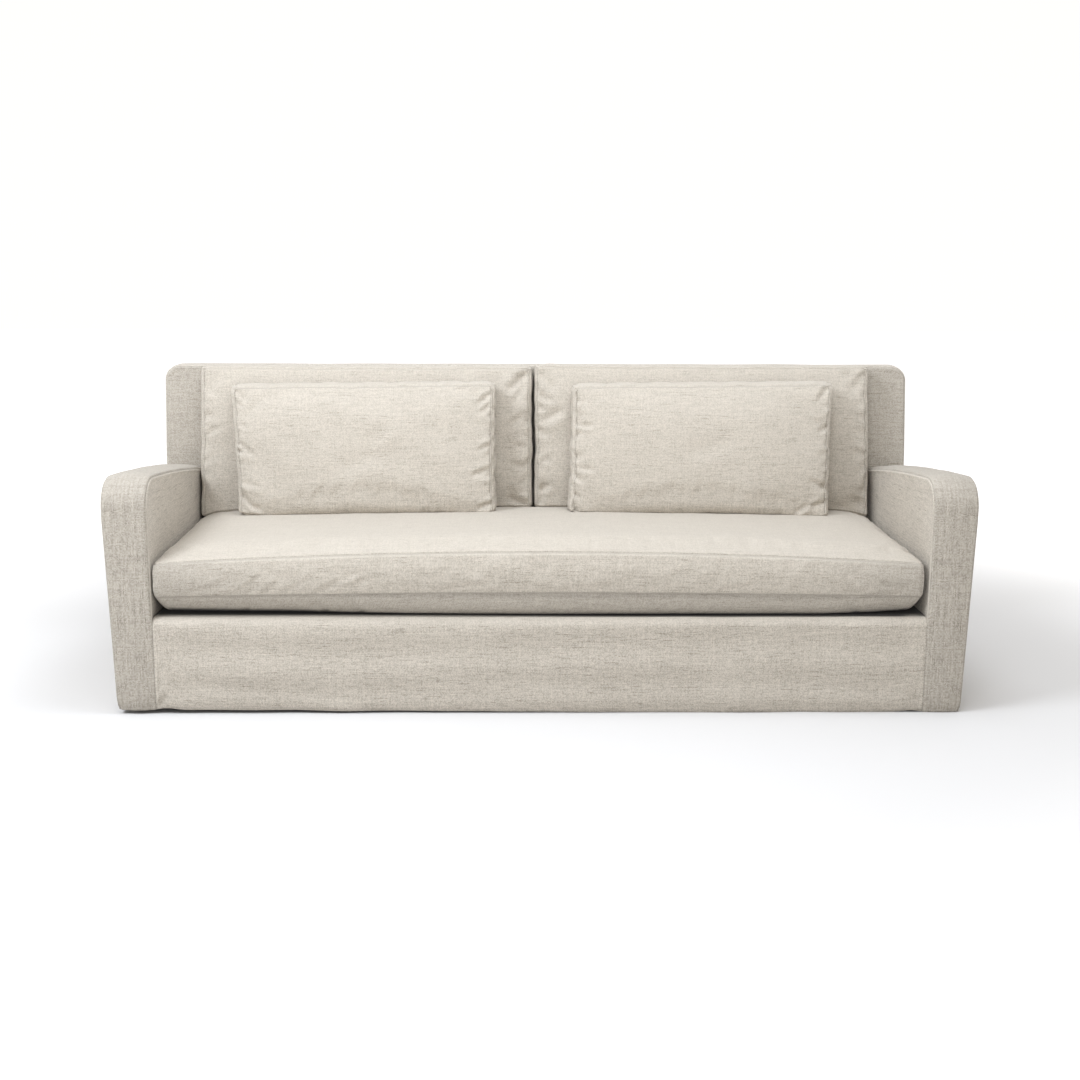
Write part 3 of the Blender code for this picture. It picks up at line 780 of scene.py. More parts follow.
def side_flat(line_y, low, top):
    """Flat size and area of an arm's side panel, between its lower edge and its seam line."""
    area = float(np.sum((top - low)[:-1] * np.diff(line_y)))
    flat = (float(line_y[-1] - line_y[0]) + ARC_EXTRA, float((top - low).max()) + ARC_EXTRA)
    return {"flat": flat, "area": area}


def arm_inner(side):
    """Inside arm panel, from the strip's inner seam down to the deck."""
    sign = SIGNS[side]
    line_y, line_z = arm_columns(ARM_END_Y - GAP, 0.010)
    share = lines(ARM_INNER_HEIGHT, step=0.009, start_seam=False) / ARM_INNER_HEIGHT
    low = apron_height(line_y) + GAP
    top = line_z - GAP
    z = low[:, None] + (top - low)[:, None] * share[None, :]
    slid = clamp((line_y - TOP_START_Y) / (ARM_END_Y - TOP_START_Y))
    y = line_y[:, None] + (back_y(z) - back_y(top)[:, None]) * slid[:, None]
    points = np.stack([np.full_like(z, sign * ARM_INSIDE), y, z], axis=2)
    distance, way_y, way_z = arm_edge(y, z)
    inward = np.stack([np.zeros_like(z), way_y, way_z], axis=2)
    outward = np.array([-sign, 0.0, 0.0])
    points = round_off(points, distance, inward, outward, inner_radius(z))
    uneven = unevenness(f"arm_inner_{side}", y, z) - SLACK
    rise = seam_relief(distance) + uneven * settled(distance)
    points = points + outward * rise[..., None]
    shade = 0.6 * SEAM_LINE * seam_shade(distance)
    make_panel("arm_inner", side, points, outward, shade, **side_flat(line_y, low, top))


def arm_outer(side):
    """Outside arm panel, down to the hem and back to the outside back."""
    sign = SIGNS[side]
    hem = float(hem_height(sign * HALF))
    line_y, line_z = arm_columns(ARM_END_Y, 0.012)
    rear_top = float(rear_y(ARM_END_Z, hem)) - GAP
    behind = ARM_END_Y + lines(rear_top - ARM_END_Y, step=0.012, start_seam=False)[1:]
    line_y = np.concatenate([line_y, behind])
    line_z = np.concatenate([line_z, np.full_like(behind, ARM_END_Z)])
    share = lines(ARM_OUTER_HEIGHT, step=0.012, start_seam=False) / ARM_OUTER_HEIGHT
    top = line_z - GAP
    z = hem + (top - hem)[:, None] * share[None, :]
    slid = clamp((line_y - ARM_END_Y) / (rear_top - ARM_END_Y))[:, None]
    y = line_y[:, None] + (rear_y(z, hem) - GAP - rear_top) * slid
    into = clamp((ARC_Y - line_y) / ARM_CORNER)[:, None]
    y = y + hem_tuck(z - hem) * into
    distance, way_y, way_z = arm_edge(y, z)
    behind_arm = y > ARM_END_Y
    distance = np.where(behind_arm, np.maximum(ARM_END_Z - z, 0), distance)
    to_rear = np.maximum(rear_y(z, hem) - GAP - y, 0)
    rear_nearer = to_rear < distance
    way_y = np.where(rear_nearer, -1.0, np.where(behind_arm, 0.0, way_y))
    way_z = np.where(rear_nearer, 0.0, np.where(behind_arm, -1.0, way_z))
    at_seam = np.minimum(distance, to_rear)
    radius = np.where(rear_nearer, CORNER_RADIUS, outer_radius(y))
    shift, sunk = rolled(at_seam, radius)
    x = side_x(y, z, hem) - sunk
    outward = np.array([sign, 0.0, 0.0])
    points = np.stack([sign * x, y + way_y * shift, z + way_z * shift], axis=2)
    calm = clamp(at_seam / 0.06) * np.clip((z - hem) / 0.04, 0.15, 1)
    rise = seam_relief(at_seam) + seam_relief(z - hem, "hem")
    rise = rise + unevenness(f"arm_outer_{side}", y, z) * calm - SLACK * calm
    points = points + outward * rise[..., None]
    shade = SEAM_LINE * seam_shade(at_seam) + HEM_LINE * seam_shade(z - hem)
    make_panel("arm_outer", side, points, outward, shade, **side_flat(line_y, hem, top))


# ---------------------------------------------------------------- apron and deck


WAVE_COLUMNS = ("at", "width", "depth")
APRON_WAVES = (
    (-0.80, 0.22, 0.0020),
    (-0.38, 0.30, -0.0022),
    (0.10, 0.34, 0.0018),
    (0.52, 0.26, -0.0020),
    (0.83, 0.20, 0.0022),
)
REAR_WAVES = (
    (-0.74, 0.34, -0.0030),
    (-0.20, 0.42, 0.0025),
    (0.33, 0.36, -0.0028),
    (0.78, 0.30, 0.0024),
)


def waves(at, table):
    total = np.zeros_like(at)
    for row in table:
        wave = dict(zip(WAVE_COLUMNS, row))
        total = total + wave["depth"] * bump((at - wave["at"]) / wave["width"] * 2)
    return total


HEM_KICK = 0.005  # the apron's hem lifts beside the arms
KICK_AT = 0.955
KICK_WIDTH = 0.030
APRON_FACING = (0, -1, 0.2)
APRON_BULGE = 0.0024
APRON_SAG = 0.0026  # level waves, as cloth that hangs a little slack
SAG_HEIGHT = 0.105
SAG_TILT = 0.014

# Folds of the apron are placed in X and Z.
APRON_CREASES = (
    (-0.955, 0.055, -0.984, 0.022, 0.008, 0.0044),
    (-0.972, 0.120, -0.976, 0.050, 0.006, 0.0018),
    (-0.900, 0.080, -0.700, 0.060, 0.016, 0.0016),
    (-0.620, 0.055, -0.480, 0.030, 0.014, 0.0014),
    (0.945, 0.055, 0.982, 0.022, 0.008, 0.0044),
    (-0.300, 0.100, 0.100, 0.085, 0.022, 0.0014),
    (0.300, 0.150, 0.620, 0.120, 0.022, 0.0014),
    (0.700, 0.075, 0.900, 0.050, 0.016, 0.0014),
)


def front_apron():
    """The panel under the seat cushion, its soft top edge rolled back on to the deck."""
    reach = ARM_INSIDE - GAP
    x = lines(2 * reach, step=0.011) - reach
    straight = DECK - APRON_ROLL
    quarter = APRON_ROLL * math.pi / 2
    length = straight + quarter + APRON_RETURN - APRON_ROLL
    along = np.concatenate([
        lines(straight, step=0.010, start_seam=False, end_seam=False),
        straight + lines(quarter, step=0.004, start_seam=False, end_seam=False)[1:],
        [length - 0.03, length],
    ])
    x_grid, along_grid = grid_of(x, along)
    hem = hem_height(x_grid) + HEM_KICK * bump((np.abs(x_grid) - KICK_AT) / KICK_WIDTH)
    up = clamp(along_grid / straight)
    angle = np.clip((along_grid - straight) / APRON_ROLL, 0, math.pi / 2)
    on_deck = np.maximum(along_grid - straight - quarter, 0)
    z = hem + (straight - hem) * up + APRON_ROLL * np.sin(angle)
    y = FRONT_Y + hem_tuck(z - hem) + APRON_ROLL * (1 - np.cos(angle)) + on_deck
    points = np.stack([x_grid, y, z], axis=2)
    s, t = arc_lengths(points)
    ends = np.minimum(s, s[-1:] - s)
    calm = clamp(ends / 0.08) * np.cos(angle)
    bulge = (APRON_BULGE + waves(x_grid, APRON_WAVES)) * np.sin(math.pi * 0.75 * z / DECK)
    level = z - SAG_TILT * np.sin(3.1 * x_grid)
    sagging = APRON_SAG * np.sin(2 * math.pi * level / SAG_HEIGHT + 0.6)
    uneven = unevenness("front_apron", s, 2.2 * t) + sagging * clamp(z / 0.05)
    rise = (bulge + uneven) * calm + seam_relief(ends)
    rise = rise + seam_relief(t, "hem") + creases(x_grid, z, APRON_CREASES) * settled(ends, reach=0.008)
    points = points + outward_grid(points, APRON_FACING) * rise[..., None]
    # Painted shade: the apron's return under the seat cushion is darkened to near black.
    under = clamp((t - straight - quarter + 0.007) / 0.006)
    shade = 0.7 * SEAM_LINE * seam_shade(ends) + HEM_LINE * seam_shade(t) + under
    make_panel("front_apron", "", points, APRON_FACING, shade, flat=(2 * reach, length))


def deck():
    """The panel under the seat cushion."""
    reach = ARM_INSIDE - GAP
    start = FRONT_Y + APRON_RETURN + GAP
    end = back_y(DECK) - GAP
    x = np.linspace(-reach, reach, 80)
    y = start + lines(end - start, step=0.02)
    x_grid, y_grid = grid_of(x, y)
    to_seam = np.minimum(y_grid - start, end - y_grid)
    z = DECK + np.minimum(seam_relief(to_seam), 0)
    points = np.stack([x_grid, y_grid, z], axis=2)
    # Painted shade: the whole deck is darkened to near black, as the shade under the seat cushion.
    make_panel("deck", "", points, (0, 0, 1), shade=1.0, flat=(2 * reach, end - start))


# ---------------------------------------------------------------- the back


def back_edge(x, z):
    """Distance to the back's side and top seams, and the way in from them, in X and Z."""
    across = np.abs(x) - BACK_ARC_X
    up = z - BACK_ARC_Z
    in_corner = (across > 0) & (up > 0)
    reach = np.maximum(np.hypot(across, up), 1e-9)
    to_side = BACK_HALF - np.abs(x)
    to_top = BACK_TOP - z
    distance = np.where(in_corner, BACK_CORNER - reach, np.minimum(to_side, to_top))
    side_nearer = to_side < to_top
    way_x = np.where(in_corner, -across / reach, np.where(side_nearer, -1.0, 0.0)) * np.sign(x)
    way_z = np.where(in_corner, -up / reach, np.where(side_nearer, 0.0, -1.0))
    return np.maximum(distance, 0), way_x, way_z


def back_lines(step):
    """X of the columns across the back, closer together at its sides and beside the arms."""
    ear = lines(BACK_HALF - GAP - ARM_INSIDE, step=0.008, end_seam=False)
    half = np.concatenate([ear[:-1], ear[-1] + lines(ARM_INSIDE, step, start_seam=False, end_seam=False)])
    half = BACK_HALF - GAP - half
    return np.concatenate([-half, half[-2::-1]]), len(ear) - 1


# Where the inside back is darkened as painted shade, in the crack between the back cushions.
CRACK_X = (CUSHION_SIDES["left"][1] + CUSHION_SIDES["right"][0]) / 2
CRACK_WIDTH = 0.014
CRACK_FROM_TOP = 0.01
CRACK_TOP_FADE = 0.04
EAR_LIFT = 0.006  # the panel's lower edge follows the crown of the arm's top
EAR_LIFT_HEIGHT = 0.02


def back_inner():
    """Inside back: between the arms below, and the full width above them."""
    x, ear_columns = back_lines(0.022)
    low = np.linspace(DECK + GAP, ARM_END_Z + GAP, 18)
    high = ARM_END_Z + GAP + lines(BACK_TOP - GAP - ARM_END_Z - GAP, step=0.010, start_seam=False)
    z = np.concatenate([low[:-1], high])
    x_grid, z_grid = grid_of(x, z)
    on_arm = clamp((np.abs(x_grid) - ARM_INSIDE) / (BACK_HALF - ARM_INSIDE))
    near_arm = bump((z_grid - ARM_END_Z) / EAR_LIFT_HEIGHT)
    z_grid = z_grid + EAR_LIFT * crown(on_arm) * near_arm * (on_arm > 0)
    x_grid, z_grid = round_corners(x_grid, z_grid)
    distance, way_x, way_z = back_edge(x_grid, z_grid)
    shift, sunk = rolled(distance, CORNER_RADIUS)
    uneven = unevenness("back_inner", x_grid, z_grid) * settled(distance)
    rise = seam_relief(distance) - sunk + uneven
    x_grid = x_grid + way_x * shift
    z_grid = z_grid + way_z * shift
    points = np.stack([x_grid, back_y(z_grid) - rise, z_grid], axis=2)
    i, j = grid_of(np.arange(len(x) - 1), np.arange(len(z) - 1))
    over_arm = (i < ear_columns) | (i >= len(x) - 1 - ear_columns)
    keep = ~over_arm | (j >= len(low) - 1)
    # Painted shade: the inside back is darkened in the crack between the back cushions, fading out near
    # its top.
    crack = bump((x_grid - CRACK_X) / CRACK_WIDTH)
    crack = crack * clamp((BACK_TOP - z_grid - CRACK_FROM_TOP) / CRACK_TOP_FADE)
    shade = SEAM_LINE * seam_shade(distance) + crack
    height = BACK_TOP - DECK
    area = 2 * ARM_INSIDE * height + 2 * (BACK_HALF - ARM_INSIDE) * (BACK_TOP - ARM_END_Z)
    flat = (2 * BACK_HALF, height)
    make_panel("back_inner", "", points, (0, -1, 0), shade, flat, area, SHADED_BACK_LINEN, keep)


def back_strip():
    """Boxing strip up one side of the back, over its top and down the other side."""
    up = np.arange(ARM_END_Z + GAP, BACK_ARC_Z, 0.010)
    turns = np.linspace(0, math.pi / 2, 17)
    across = np.linspace(-BACK_ARC_X, 0, 95)[1:]
    corner_x = -BACK_ARC_X - BACK_CORNER * np.cos(turns)
    corner_z = BACK_ARC_Z + BACK_CORNER * np.sin(turns)
    half_x = np.concatenate([np.full_like(up, -BACK_HALF), corner_x, across])
    half_z = np.concatenate([up, corner_z, np.full_like(across, BACK_TOP)])
    turned = np.concatenate([np.zeros_like(up), turns, np.full_like(across, math.pi / 2)])
    x = np.concatenate([half_x, -half_x[-2::-1]])
    z = np.concatenate([half_z, half_z[-2::-1]])
    way_x = np.concatenate([-np.cos(turned), np.cos(turned[-2::-1])])
    way_z = np.concatenate([np.sin(turned), np.sin(turned[-2::-1])])
    share = lines(BACK_STRIP_ROWS, step=0.010) / BACK_STRIP_ROWS
    front = back_y(z)[:, None] + GAP
    rear = rear_y(z, 0)[:, None] - GAP
    y = front + (rear - front) * share[None, :]
    fallen = z[:, None] - rear_fall(z)[:, None] * share[None, :]
    points = np.stack([np.broadcast_to(x[:, None], y.shape), y, fallen], axis=2)
    s, t = arc_lengths(points)
    width = rear - front
    from_front = share[None, :] * width
    from_rear = (1 - share[None, :]) * width
    back_way = unit(np.gradient(points, axis=1))
    outward = np.stack([way_x, np.zeros_like(x), way_z], axis=1)[:, None, :]
    points = round_off(points, from_front, back_way, outward, CORNER_RADIUS)
    points = round_off(points, from_rear, -back_way, outward, CORNER_RADIUS)
    lift = BACK_CROWN * clamp((z - ARM_END_Z) / CROWN_FADE)
    rise = lift[:, None] * crown(share)[None, :]
    rise = rise + seam_relief(from_front) + seam_relief(from_rear)
    uneven = unevenness("back_strip", s, t) * settled(from_front) * settled(from_rear)
    rise = rise + uneven * clamp(lift[:, None] / BACK_CROWN)
    points = points + outward * rise[..., None]
    shade = SEAM_LINE * (seam_shade(from_front) + seam_shade(from_rear))
    shade = shade + SEAM_LINE * seam_shade(z - ARM_END_Z - GAP)[:, None]
    make_panel("back_strip", "", points, (0, 0, 1), shade, flat=(float(s[-1, 0]), BACK_STRIP_WIDTH))


def back_outer():
    """Outside back, from the top seam down to the hem."""
    x, _ = back_lines(0.020)
    share = lines(BACK_TOP, step=0.020, start_seam=False) / BACK_TOP
    x_grid, share_grid = grid_of(x, share)
    hem = hem_height(x_grid)
    z = hem + (BACK_TOP - GAP - hem) * share_grid
    x_grid = x_grid * side_x(REAR_SEAM, z, hem) / BACK_HALF
    x_grid, z = round_corners(x_grid, z)
    edge = side_x(REAR_SEAM, z, hem)
    distance, way_x, way_z = back_edge(x_grid * BACK_HALF / edge, z)
    shift, sunk = rolled(distance, CORNER_RADIUS)
    calm = clamp(distance / 0.12)
    bulge = (REAR_BULGE + waves(x_grid, REAR_WAVES)) * np.sin(math.pi * clamp(z / BACK_TOP))
    rise = (bulge + unevenness("back_outer", x_grid, z)) * calm - sunk
    rise = rise + seam_relief(distance) + seam_relief(z - hem, "hem")
    y = rear_y(z, hem) + rise
    points = np.stack([x_grid + way_x * shift, y, z - rear_fall(z) + way_z * shift], axis=2)
    shade = SEAM_LINE * seam_shade(distance) + HEM_LINE * seam_shade(z - hem)
    make_panel("back_outer", "", points, (0, 1, 0), shade, flat=(2 * BACK_HALF, BACK_TOP))


# ---------------------------------------------------------------- cushions


def walk_round(u, v):
    """Grid indices round a panel's edge, and their places on a ring, a quarter of 4 for each side."""
    last_u = len(u) - 1
    last_v = len(v) - 1
    steps = [(i, 0, (u[i] + 1) / 2) for i in range(last_u)]
    steps += [(last_u, j, 1 + (v[j] + 1) / 2) for j in range(last_v)]
    steps += [(i, last_v, 2 + (1 - u[i]) / 2) for i in range(last_u, 0, -1)]
    steps += [(0, j, 3 + (1 - v[j]) / 2) for j in range(last_v, 0, -1)]
    return np.array([step[:2] for step in steps]), np.array([step[2] for step in steps])


def round_plan(u, v, size, radius):
    """Moves a panel's corner points on to its round corners."""
    half_u = 1 - 2 * radius / size[0]
    half_v = 1 - 2 * radius / size[1]
    across = np.maximum(np.abs(u) - half_u, 0) / (1 - half_u)
    up = np.maximum(np.abs(v) - half_v, 0) / (1 - half_v)
    shrink = corner_shrink(across, up)
    rounded_u = np.minimum(np.abs(u), half_u) + across * shrink * (1 - half_u)
    rounded_v = np.minimum(np.abs(v), half_v) + up * shrink * (1 - half_v)
    return np.sign(u) * rounded_u, np.sign(v) * rounded_v


RIPPLES = (3, 5, 8, 13)  # half waves along a seam
SEAT_WANDER = 0.0036
SEAM_WANDER = 0.0026


def ripple(at, length, amplitude, seed):
    """A seam's sideways wander along its length, nothing at its two ends."""
    random = np.random.default_rng(seed)
    total = np.zeros_like(at)
    for count in RIPPLES:
        phase = random.uniform(0, 2 * math.pi)
        size = random.uniform(0.5, 1.0)
        total += size * np.sin(math.pi * count * at / length + phase) / count**0.5
    return amplitude * total * np.sin(math.pi * clamp(at / length)) ** 0.5


def unruly(u, v, size, amplitude, seed):
    """Sideways and upward shifts that let a panel's four seams wander."""
    at_u = (u + 1) / 2 * size[0]
    at_v = (v + 1) / 2 * size[1]
    left = ripple(at_v, size[1], amplitude, seed)
    right = ripple(at_v, size[1], amplitude, seed + 1)
    low = ripple(at_u, size[0], amplitude * 0.6, seed + 2)
    top = ripple(at_u, size[0], amplitude * 0.6, seed + 3)
    across = left * clamp(-u) ** 8 + right * clamp(u) ** 8
    return across, low * clamp(-v) ** 6 + top * clamp(v) ** 6


class Cushion:
    """Two panels and the boxing between them, on the grid lines u, v and w."""

    def __init__(self, form, u, v, w):
        self.u = u
        self.v = v
        self.w = w
        self.u_grid, self.v_grid = grid_of(u, v)
        round_u, round_v = round_plan(self.u_grid, self.v_grid, form["size"], form["corner"])
        self.shown, self.hidden = form["panels"](round_u, round_v)
        self.loop, self.ring = walk_round(u, v)
        self.bulges = form["bulges"]
        self.boxing = self.make_boxing()

    def make_boxing(self):
        columns, rows = len(self.u), len(self.v)
        i, j = self.loop.T
        upper = self.shown[i, j]
        lower = self.hidden[i, j]
        u_way = unit(self.shown[-1, rows // 2] - self.shown[0, rows // 2])
        v_way = unit(self.shown[columns // 2, -1] - self.shown[columns // 2, 0])
        left, right, low, top = self.bulges
        swell = (i == 0)[:, None] * u_way * -left + (i == columns - 1)[:, None] * u_way * right
        swell = swell + (j == 0)[:, None] * v_way * -low + (j == rows - 1)[:, None] * v_way * top
        share = self.w[:, None, None]
        return upper * (1 - share) + lower * share + swell * crown(share) ** 0.6

    def points(self):
        return np.concatenate([
            self.shown.reshape(-1, 3),
            self.hidden.reshape(-1, 3),
            self.boxing[1:-1].reshape(-1, 3),
        ])

    def faces(self):
        columns, rows = len(self.u), len(self.v)
        size = columns * rows
        top = grid_faces(columns, rows)
        bottom = top[:, ::-1] + size
        count = len(self.loop)
        edge = self.loop[:, 0] * rows + self.loop[:, 1]
        circuits = [edge]
        for k in range(len(self.w) - 2):
            circuits.append(2 * size + k * count + np.arange(count))
        circuits.append(edge + size)
        sides = []
        for upper, lower in zip(circuits, circuits[1:]):
            sides.append(np.stack([np.roll(upper, -1), upper, lower, np.roll(lower, -1)], axis=1))
        return np.concatenate([top, bottom, *sides])

    def place(self, moved):
        """Sets the panels and the boxing from rows in the order of points()."""
        size = self.shown.size // 3
        self.shown = moved[:size].reshape(self.shown.shape)
        self.hidden = moved[size : 2 * size].reshape(self.hidden.shape)
        i, j = self.loop.T
        middle = moved[2 * size :].reshape(len(self.w) - 2, len(self.loop), 3)
        self.boxing = np.concatenate([self.shown[i, j][None], middle, self.hidden[i, j][None]])


def outward_normals(points, faces):
    """A normal at each point of a closed skin."""
    a, b, c, d = (points[faces[:, k]] for k in range(4))
    face_normal = np.cross(c - a, d - b)
    total = np.zeros_like(points)
    for k in range(4):
        np.add.at(total, faces[:, k], face_normal)
    normal = unit(total)
    centre = points.mean(axis=0)
    return normal if np.sum(normal * (points - centre)) > 0 else -normal


def smooth_weights(count, at):
    """Catmull-Rom weights that read evenly spaced values, one row for each place from 0 to 1."""
    place = clamp(at) * (count - 1)
    start = np.minimum(place.astype(int), count - 2)
    t = place - start
    shares = (
        (-t + 2 * t**2 - t**3) / 2,
        (2 - 5 * t**2 + 3 * t**3) / 2,
        (t + 4 * t**2 - 3 * t**3) / 2,
        (t**3 - t**2) / 2,
    )
    weights = np.zeros((len(at), count))
    for offset, share in zip((-1, 0, 1, 2), shares):
        np.add.at(weights, (np.arange(len(at)), np.clip(start + offset, 0, count - 1)), share)
    return weights


def resample(values, new_u, new_v):
    """Values on an even grid, read off smoothly on another."""
    across = smooth_weights(values.shape[0], (new_u + 1) / 2)
    up = smooth_weights(values.shape[1], (new_v + 1) / 2)
    return np.einsum("ai,ijk,bj->abk", across, values, up, optimize=True)


EXTRA_CLOTH = 0.022
FILLING_STEPS = 20
FILLING = {
    "quality": 5,
    "mass": 0.4,
    "tension_stiffness": 15,
    "compression_stiffness": 15,
    "shear_stiffness": 5,
    "bending_stiffness": 0.15,
    "use_pressure": True,
    "shrink_min": -EXTRA_CLOTH,
    "vertex_group_mass": "seams",
    "pin_stiffness": 1.0,
}
CALM_END = 0.09  # folds from the filling fade out this near the seams at the top and the bottom


def inflate(points, faces, pinned, pressure, cap):
    """How far each point of a skin moves when it is filled, by Blender's cloth simulation."""
    mesh = bpy.data.meshes.new("filling")
    mesh.from_pydata(points.tolist(), [], faces.tolist())
    skin = add_object("filling", mesh)
    group = skin.vertex_groups.new(name="seams")
    for index in np.flatnonzero(pinned > 0):
        group.add([int(index)], float(pinned[index]), "REPLACE")
    cloth = skin.modifiers.new("fill", "CLOTH")
    for setting, value in FILLING.items():
        setattr(cloth.settings, setting, value)
    cloth.settings.uniform_pressure_force = pressure
    cloth.settings.effector_weights.gravity = 0
    scene = bpy.context.scene
    for number in range(1, FILLING_STEPS + 1):
        scene.frame_set(number)
    bent = skin.evaluated_get(bpy.context.evaluated_depsgraph_get())
    moved = np.zeros(len(points) * 3)
    bent.data.vertices.foreach_get("co", moved)
    shift = moved.reshape(-1, 3) - points
    bpy.data.objects.remove(skin)
    bpy.data.meshes.remove(mesh)
    scene.frame_set(1)
    length = np.linalg.norm(shift, axis=1, keepdims=True)
    return shift * np.minimum(1, cap / np.maximum(length, 1e-9))


def filled(form, steps, coarse_step):
    """A cushion on fine grid lines, blown up on coarse ones."""
    cushion = Cushion(form, *cushion_lines(form["size"], steps))
    width, height, depth = form["size"]
    u = np.linspace(-1, 1, int(width / coarse_step) + 1)
    v = np.linspace(-1, 1, int(height / coarse_step) + 1)
    w = np.linspace(0, 1, max(int(depth / coarse_step), 3) + 1)
    coarse = Cushion(form, u, v, w)
    start = coarse.points()
    size = len(u) * len(v)
    edge = coarse.loop[:, 0] * len(v) + coarse.loop[:, 1]
    pinned = np.zeros(len(start))
    pinned[edge] = 1.0
    pinned[edge + size] = 1.0
    pinned[size : 2 * size] = 1.0
    shift = inflate(start, coarse.faces(), pinned, form["pressure"], form["cap"])
    coarse.place(shift)  # from here on it holds shifts, which the fine grid reads off
    calm = clamp((1 - np.abs(cushion.v_grid)) * height / 2 / CALM_END)[..., None]
    shown = resample(coarse.shown, cushion.u, cushion.v) * calm
    ring = np.concatenate([coarse.ring - 4, coarse.ring, coarse.ring + 4])
    boxing = np.empty_like(cushion.boxing)
    for k in range(3):
        wide = np.tile(coarse.boxing[:, :, k], (1, 3))
        rows = np.array([np.interp(cushion.ring, ring, row) for row in wide])
        for n in range(rows.shape[1]):
            boxing[:, n, k] = np.interp(cushion.w, w, rows[:, n])
    cushion.shown = cushion.shown + shown
    cushion.boxing = cushion.boxing + form["side_fill"] * boxing
    return cushion


def round_panel(panel, cushion, facing, radius, to_side, to_end):
    """Rounds all four edges of a cushion's panel."""
    u_way = unit(np.gradient(panel, axis=0)) * -np.sign(cushion.u_grid)[..., None]
    v_way = unit(np.gradient(panel, axis=1)) * -np.sign(cushion.v_grid)[..., None]
    normal = outward_grid(panel, facing)
    panel = round_off(panel, to_side, u_way, normal, radius)
    return round_off(panel, to_end, v_way, normal, radius)


def round_seams(cushion, form, to_side, to_end):
    """Rounds both panels, and lets the boxing follow them near its own edges."""
    facing = np.array(form["facing"])
    depth = form["size"][2]
    cushion.shown = round_panel(cushion.shown, cushion, facing, form["edge"], to_side, to_end)
    cushion.hidden = round_panel(cushion.hidden, cushion, -facing, form["low_edge"], to_side, to_end)
    i, j = cushion.loop.T
    upper_shift = cushion.shown[i, j] - cushion.boxing[0]
    lower_shift = cushion.hidden[i, j] - cushion.boxing[-1]
    ease_upper = clamp(1 - cushion.w * depth / form["edge"]) ** 2
    ease_lower = clamp(1 - (1 - cushion.w) * depth / form["low_edge"]) ** 2
    cushion.boxing = cushion.boxing + ease_upper[:, None, None] * upper_shift
    cushion.boxing = cushion.boxing + ease_lower[:, None, None] * lower_shift


END_LINE_AT = 0.0008
# Painted shade on the seat's underside, on the sides of the back cushions in their crack, and on the
# seat's boxing towards its ends.
UNDER_RIM = 0.20
UNDER_START = 0.026
UNDER_FADE = 0.010
CRACK_START = 0.028
CRACK_FADE = 0.015
CRACK_TOP = 0.05
END_REACH = 0.20


def cushion_shade(cushion, form, to_side, to_end, down):
    """The dark lines of the seams, partly painted shade; painted shade on the places that see next to no
    light and on the seat's boxing towards its ends.
    """
    width, height, depth = form["size"]
    at_side = seam_shade(to_side, form["welt_line"]) * (to_side < to_end)
    at_end = seam_shade(to_end, END_LINE_AT) * (to_end <= to_side)
    panel = np.maximum(form["side_line"] * at_side, form["end_line"] * at_end)
    inside = np.minimum(to_side, to_end)
    under = form["under"] * (UNDER_RIM + clamp((inside - UNDER_START) / UNDER_FADE))
    i, j = cushion.loop.T
    start, end = form["crack"]
    from_top = (1 - cushion.v_grid[i, j]) * height / 2
    in_crack = (cushion.ring >= start) & (cushion.ring < end)
    in_crack = in_crack * clamp(from_top / CRACK_TOP)
    deep = clamp((cushion.w * depth - CRACK_START) / CRACK_FADE)
    from_end = (1 - np.abs(cushion.u_grid[i, j])) * width / 2
    boxing = form["low_line"] * (seam_shade(down) * 0.5 + seam_shade(depth - down))
    boxing = boxing + deep[:, None] * in_crack[None, :]
    boxing = boxing + form["end_shade"] * bump(from_end / END_REACH)[None, :]
    return np.concatenate([panel.ravel(), (panel + under).ravel(), boxing[1:-1].ravel()])


# How far the UV of the boxing and of the hidden panel lie from that of the shown panel, in metres.
BOXING_UV = 2.0
HIDDEN_UV = 3.7


def finish_cushion(name, form, cushion, reliefs):
    """Rounds the seams, raises the welts and puckers, and makes the piece."""
    width, height, depth = form["size"]
    to_side = (1 - np.abs(cushion.u_grid)) * width / 2
    to_end = (1 - np.abs(cushion.v_grid)) * height / 2
    round_seams(cushion, form, to_side, to_end)
    points = cushion.points()
    faces = cushion.faces()
    s = (cushion.u_grid + 1) * width / 2
    t = (cushion.v_grid + 1) * height / 2
    around = np.interp(cushion.ring, range(5), np.cumsum([0, width, height, width, height]))
    around, down = (grid.T for grid in grid_of(around, cushion.w * depth))
    shown, hidden, boxing = reliefs(s, t, to_side, to_end, around, down, depth)
    rise = np.concatenate([shown.ravel(), hidden.ravel(), boxing[1:-1].ravel()])
    points = points + outward_normals(points, faces) * rise[:, None]
    uv = np.concatenate([
        np.stack([s, t], axis=2).reshape(-1, 2),
        np.stack(arc_lengths(cushion.hidden), axis=2).reshape(-1, 2) + HIDDEN_UV,
        np.stack([around, down + BOXING_UV], axis=2)[1:-1].reshape(-1, 2),
    ])
    shade = cushion_shade(cushion, form, to_side, to_end, down)
    return make_object(name, points, faces.tolist(), uv, shade, CUSHION_LINEN)


# The gathers at a cushion panel's left, right, lower and upper seam.
PUCKER_COLUMNS = ("spacing", "depth", "reach")
PANEL_PUCKERS = (
    (0.030, 0.0018, 0.050),
    (0.030, 0.0018, 0.050),
    (0.060, 0.0012, 0.030),
    (0.060, 0.0010, 0.030),
)
BOXING_SPACING = 0.035
BOXING_REACH = 0.030


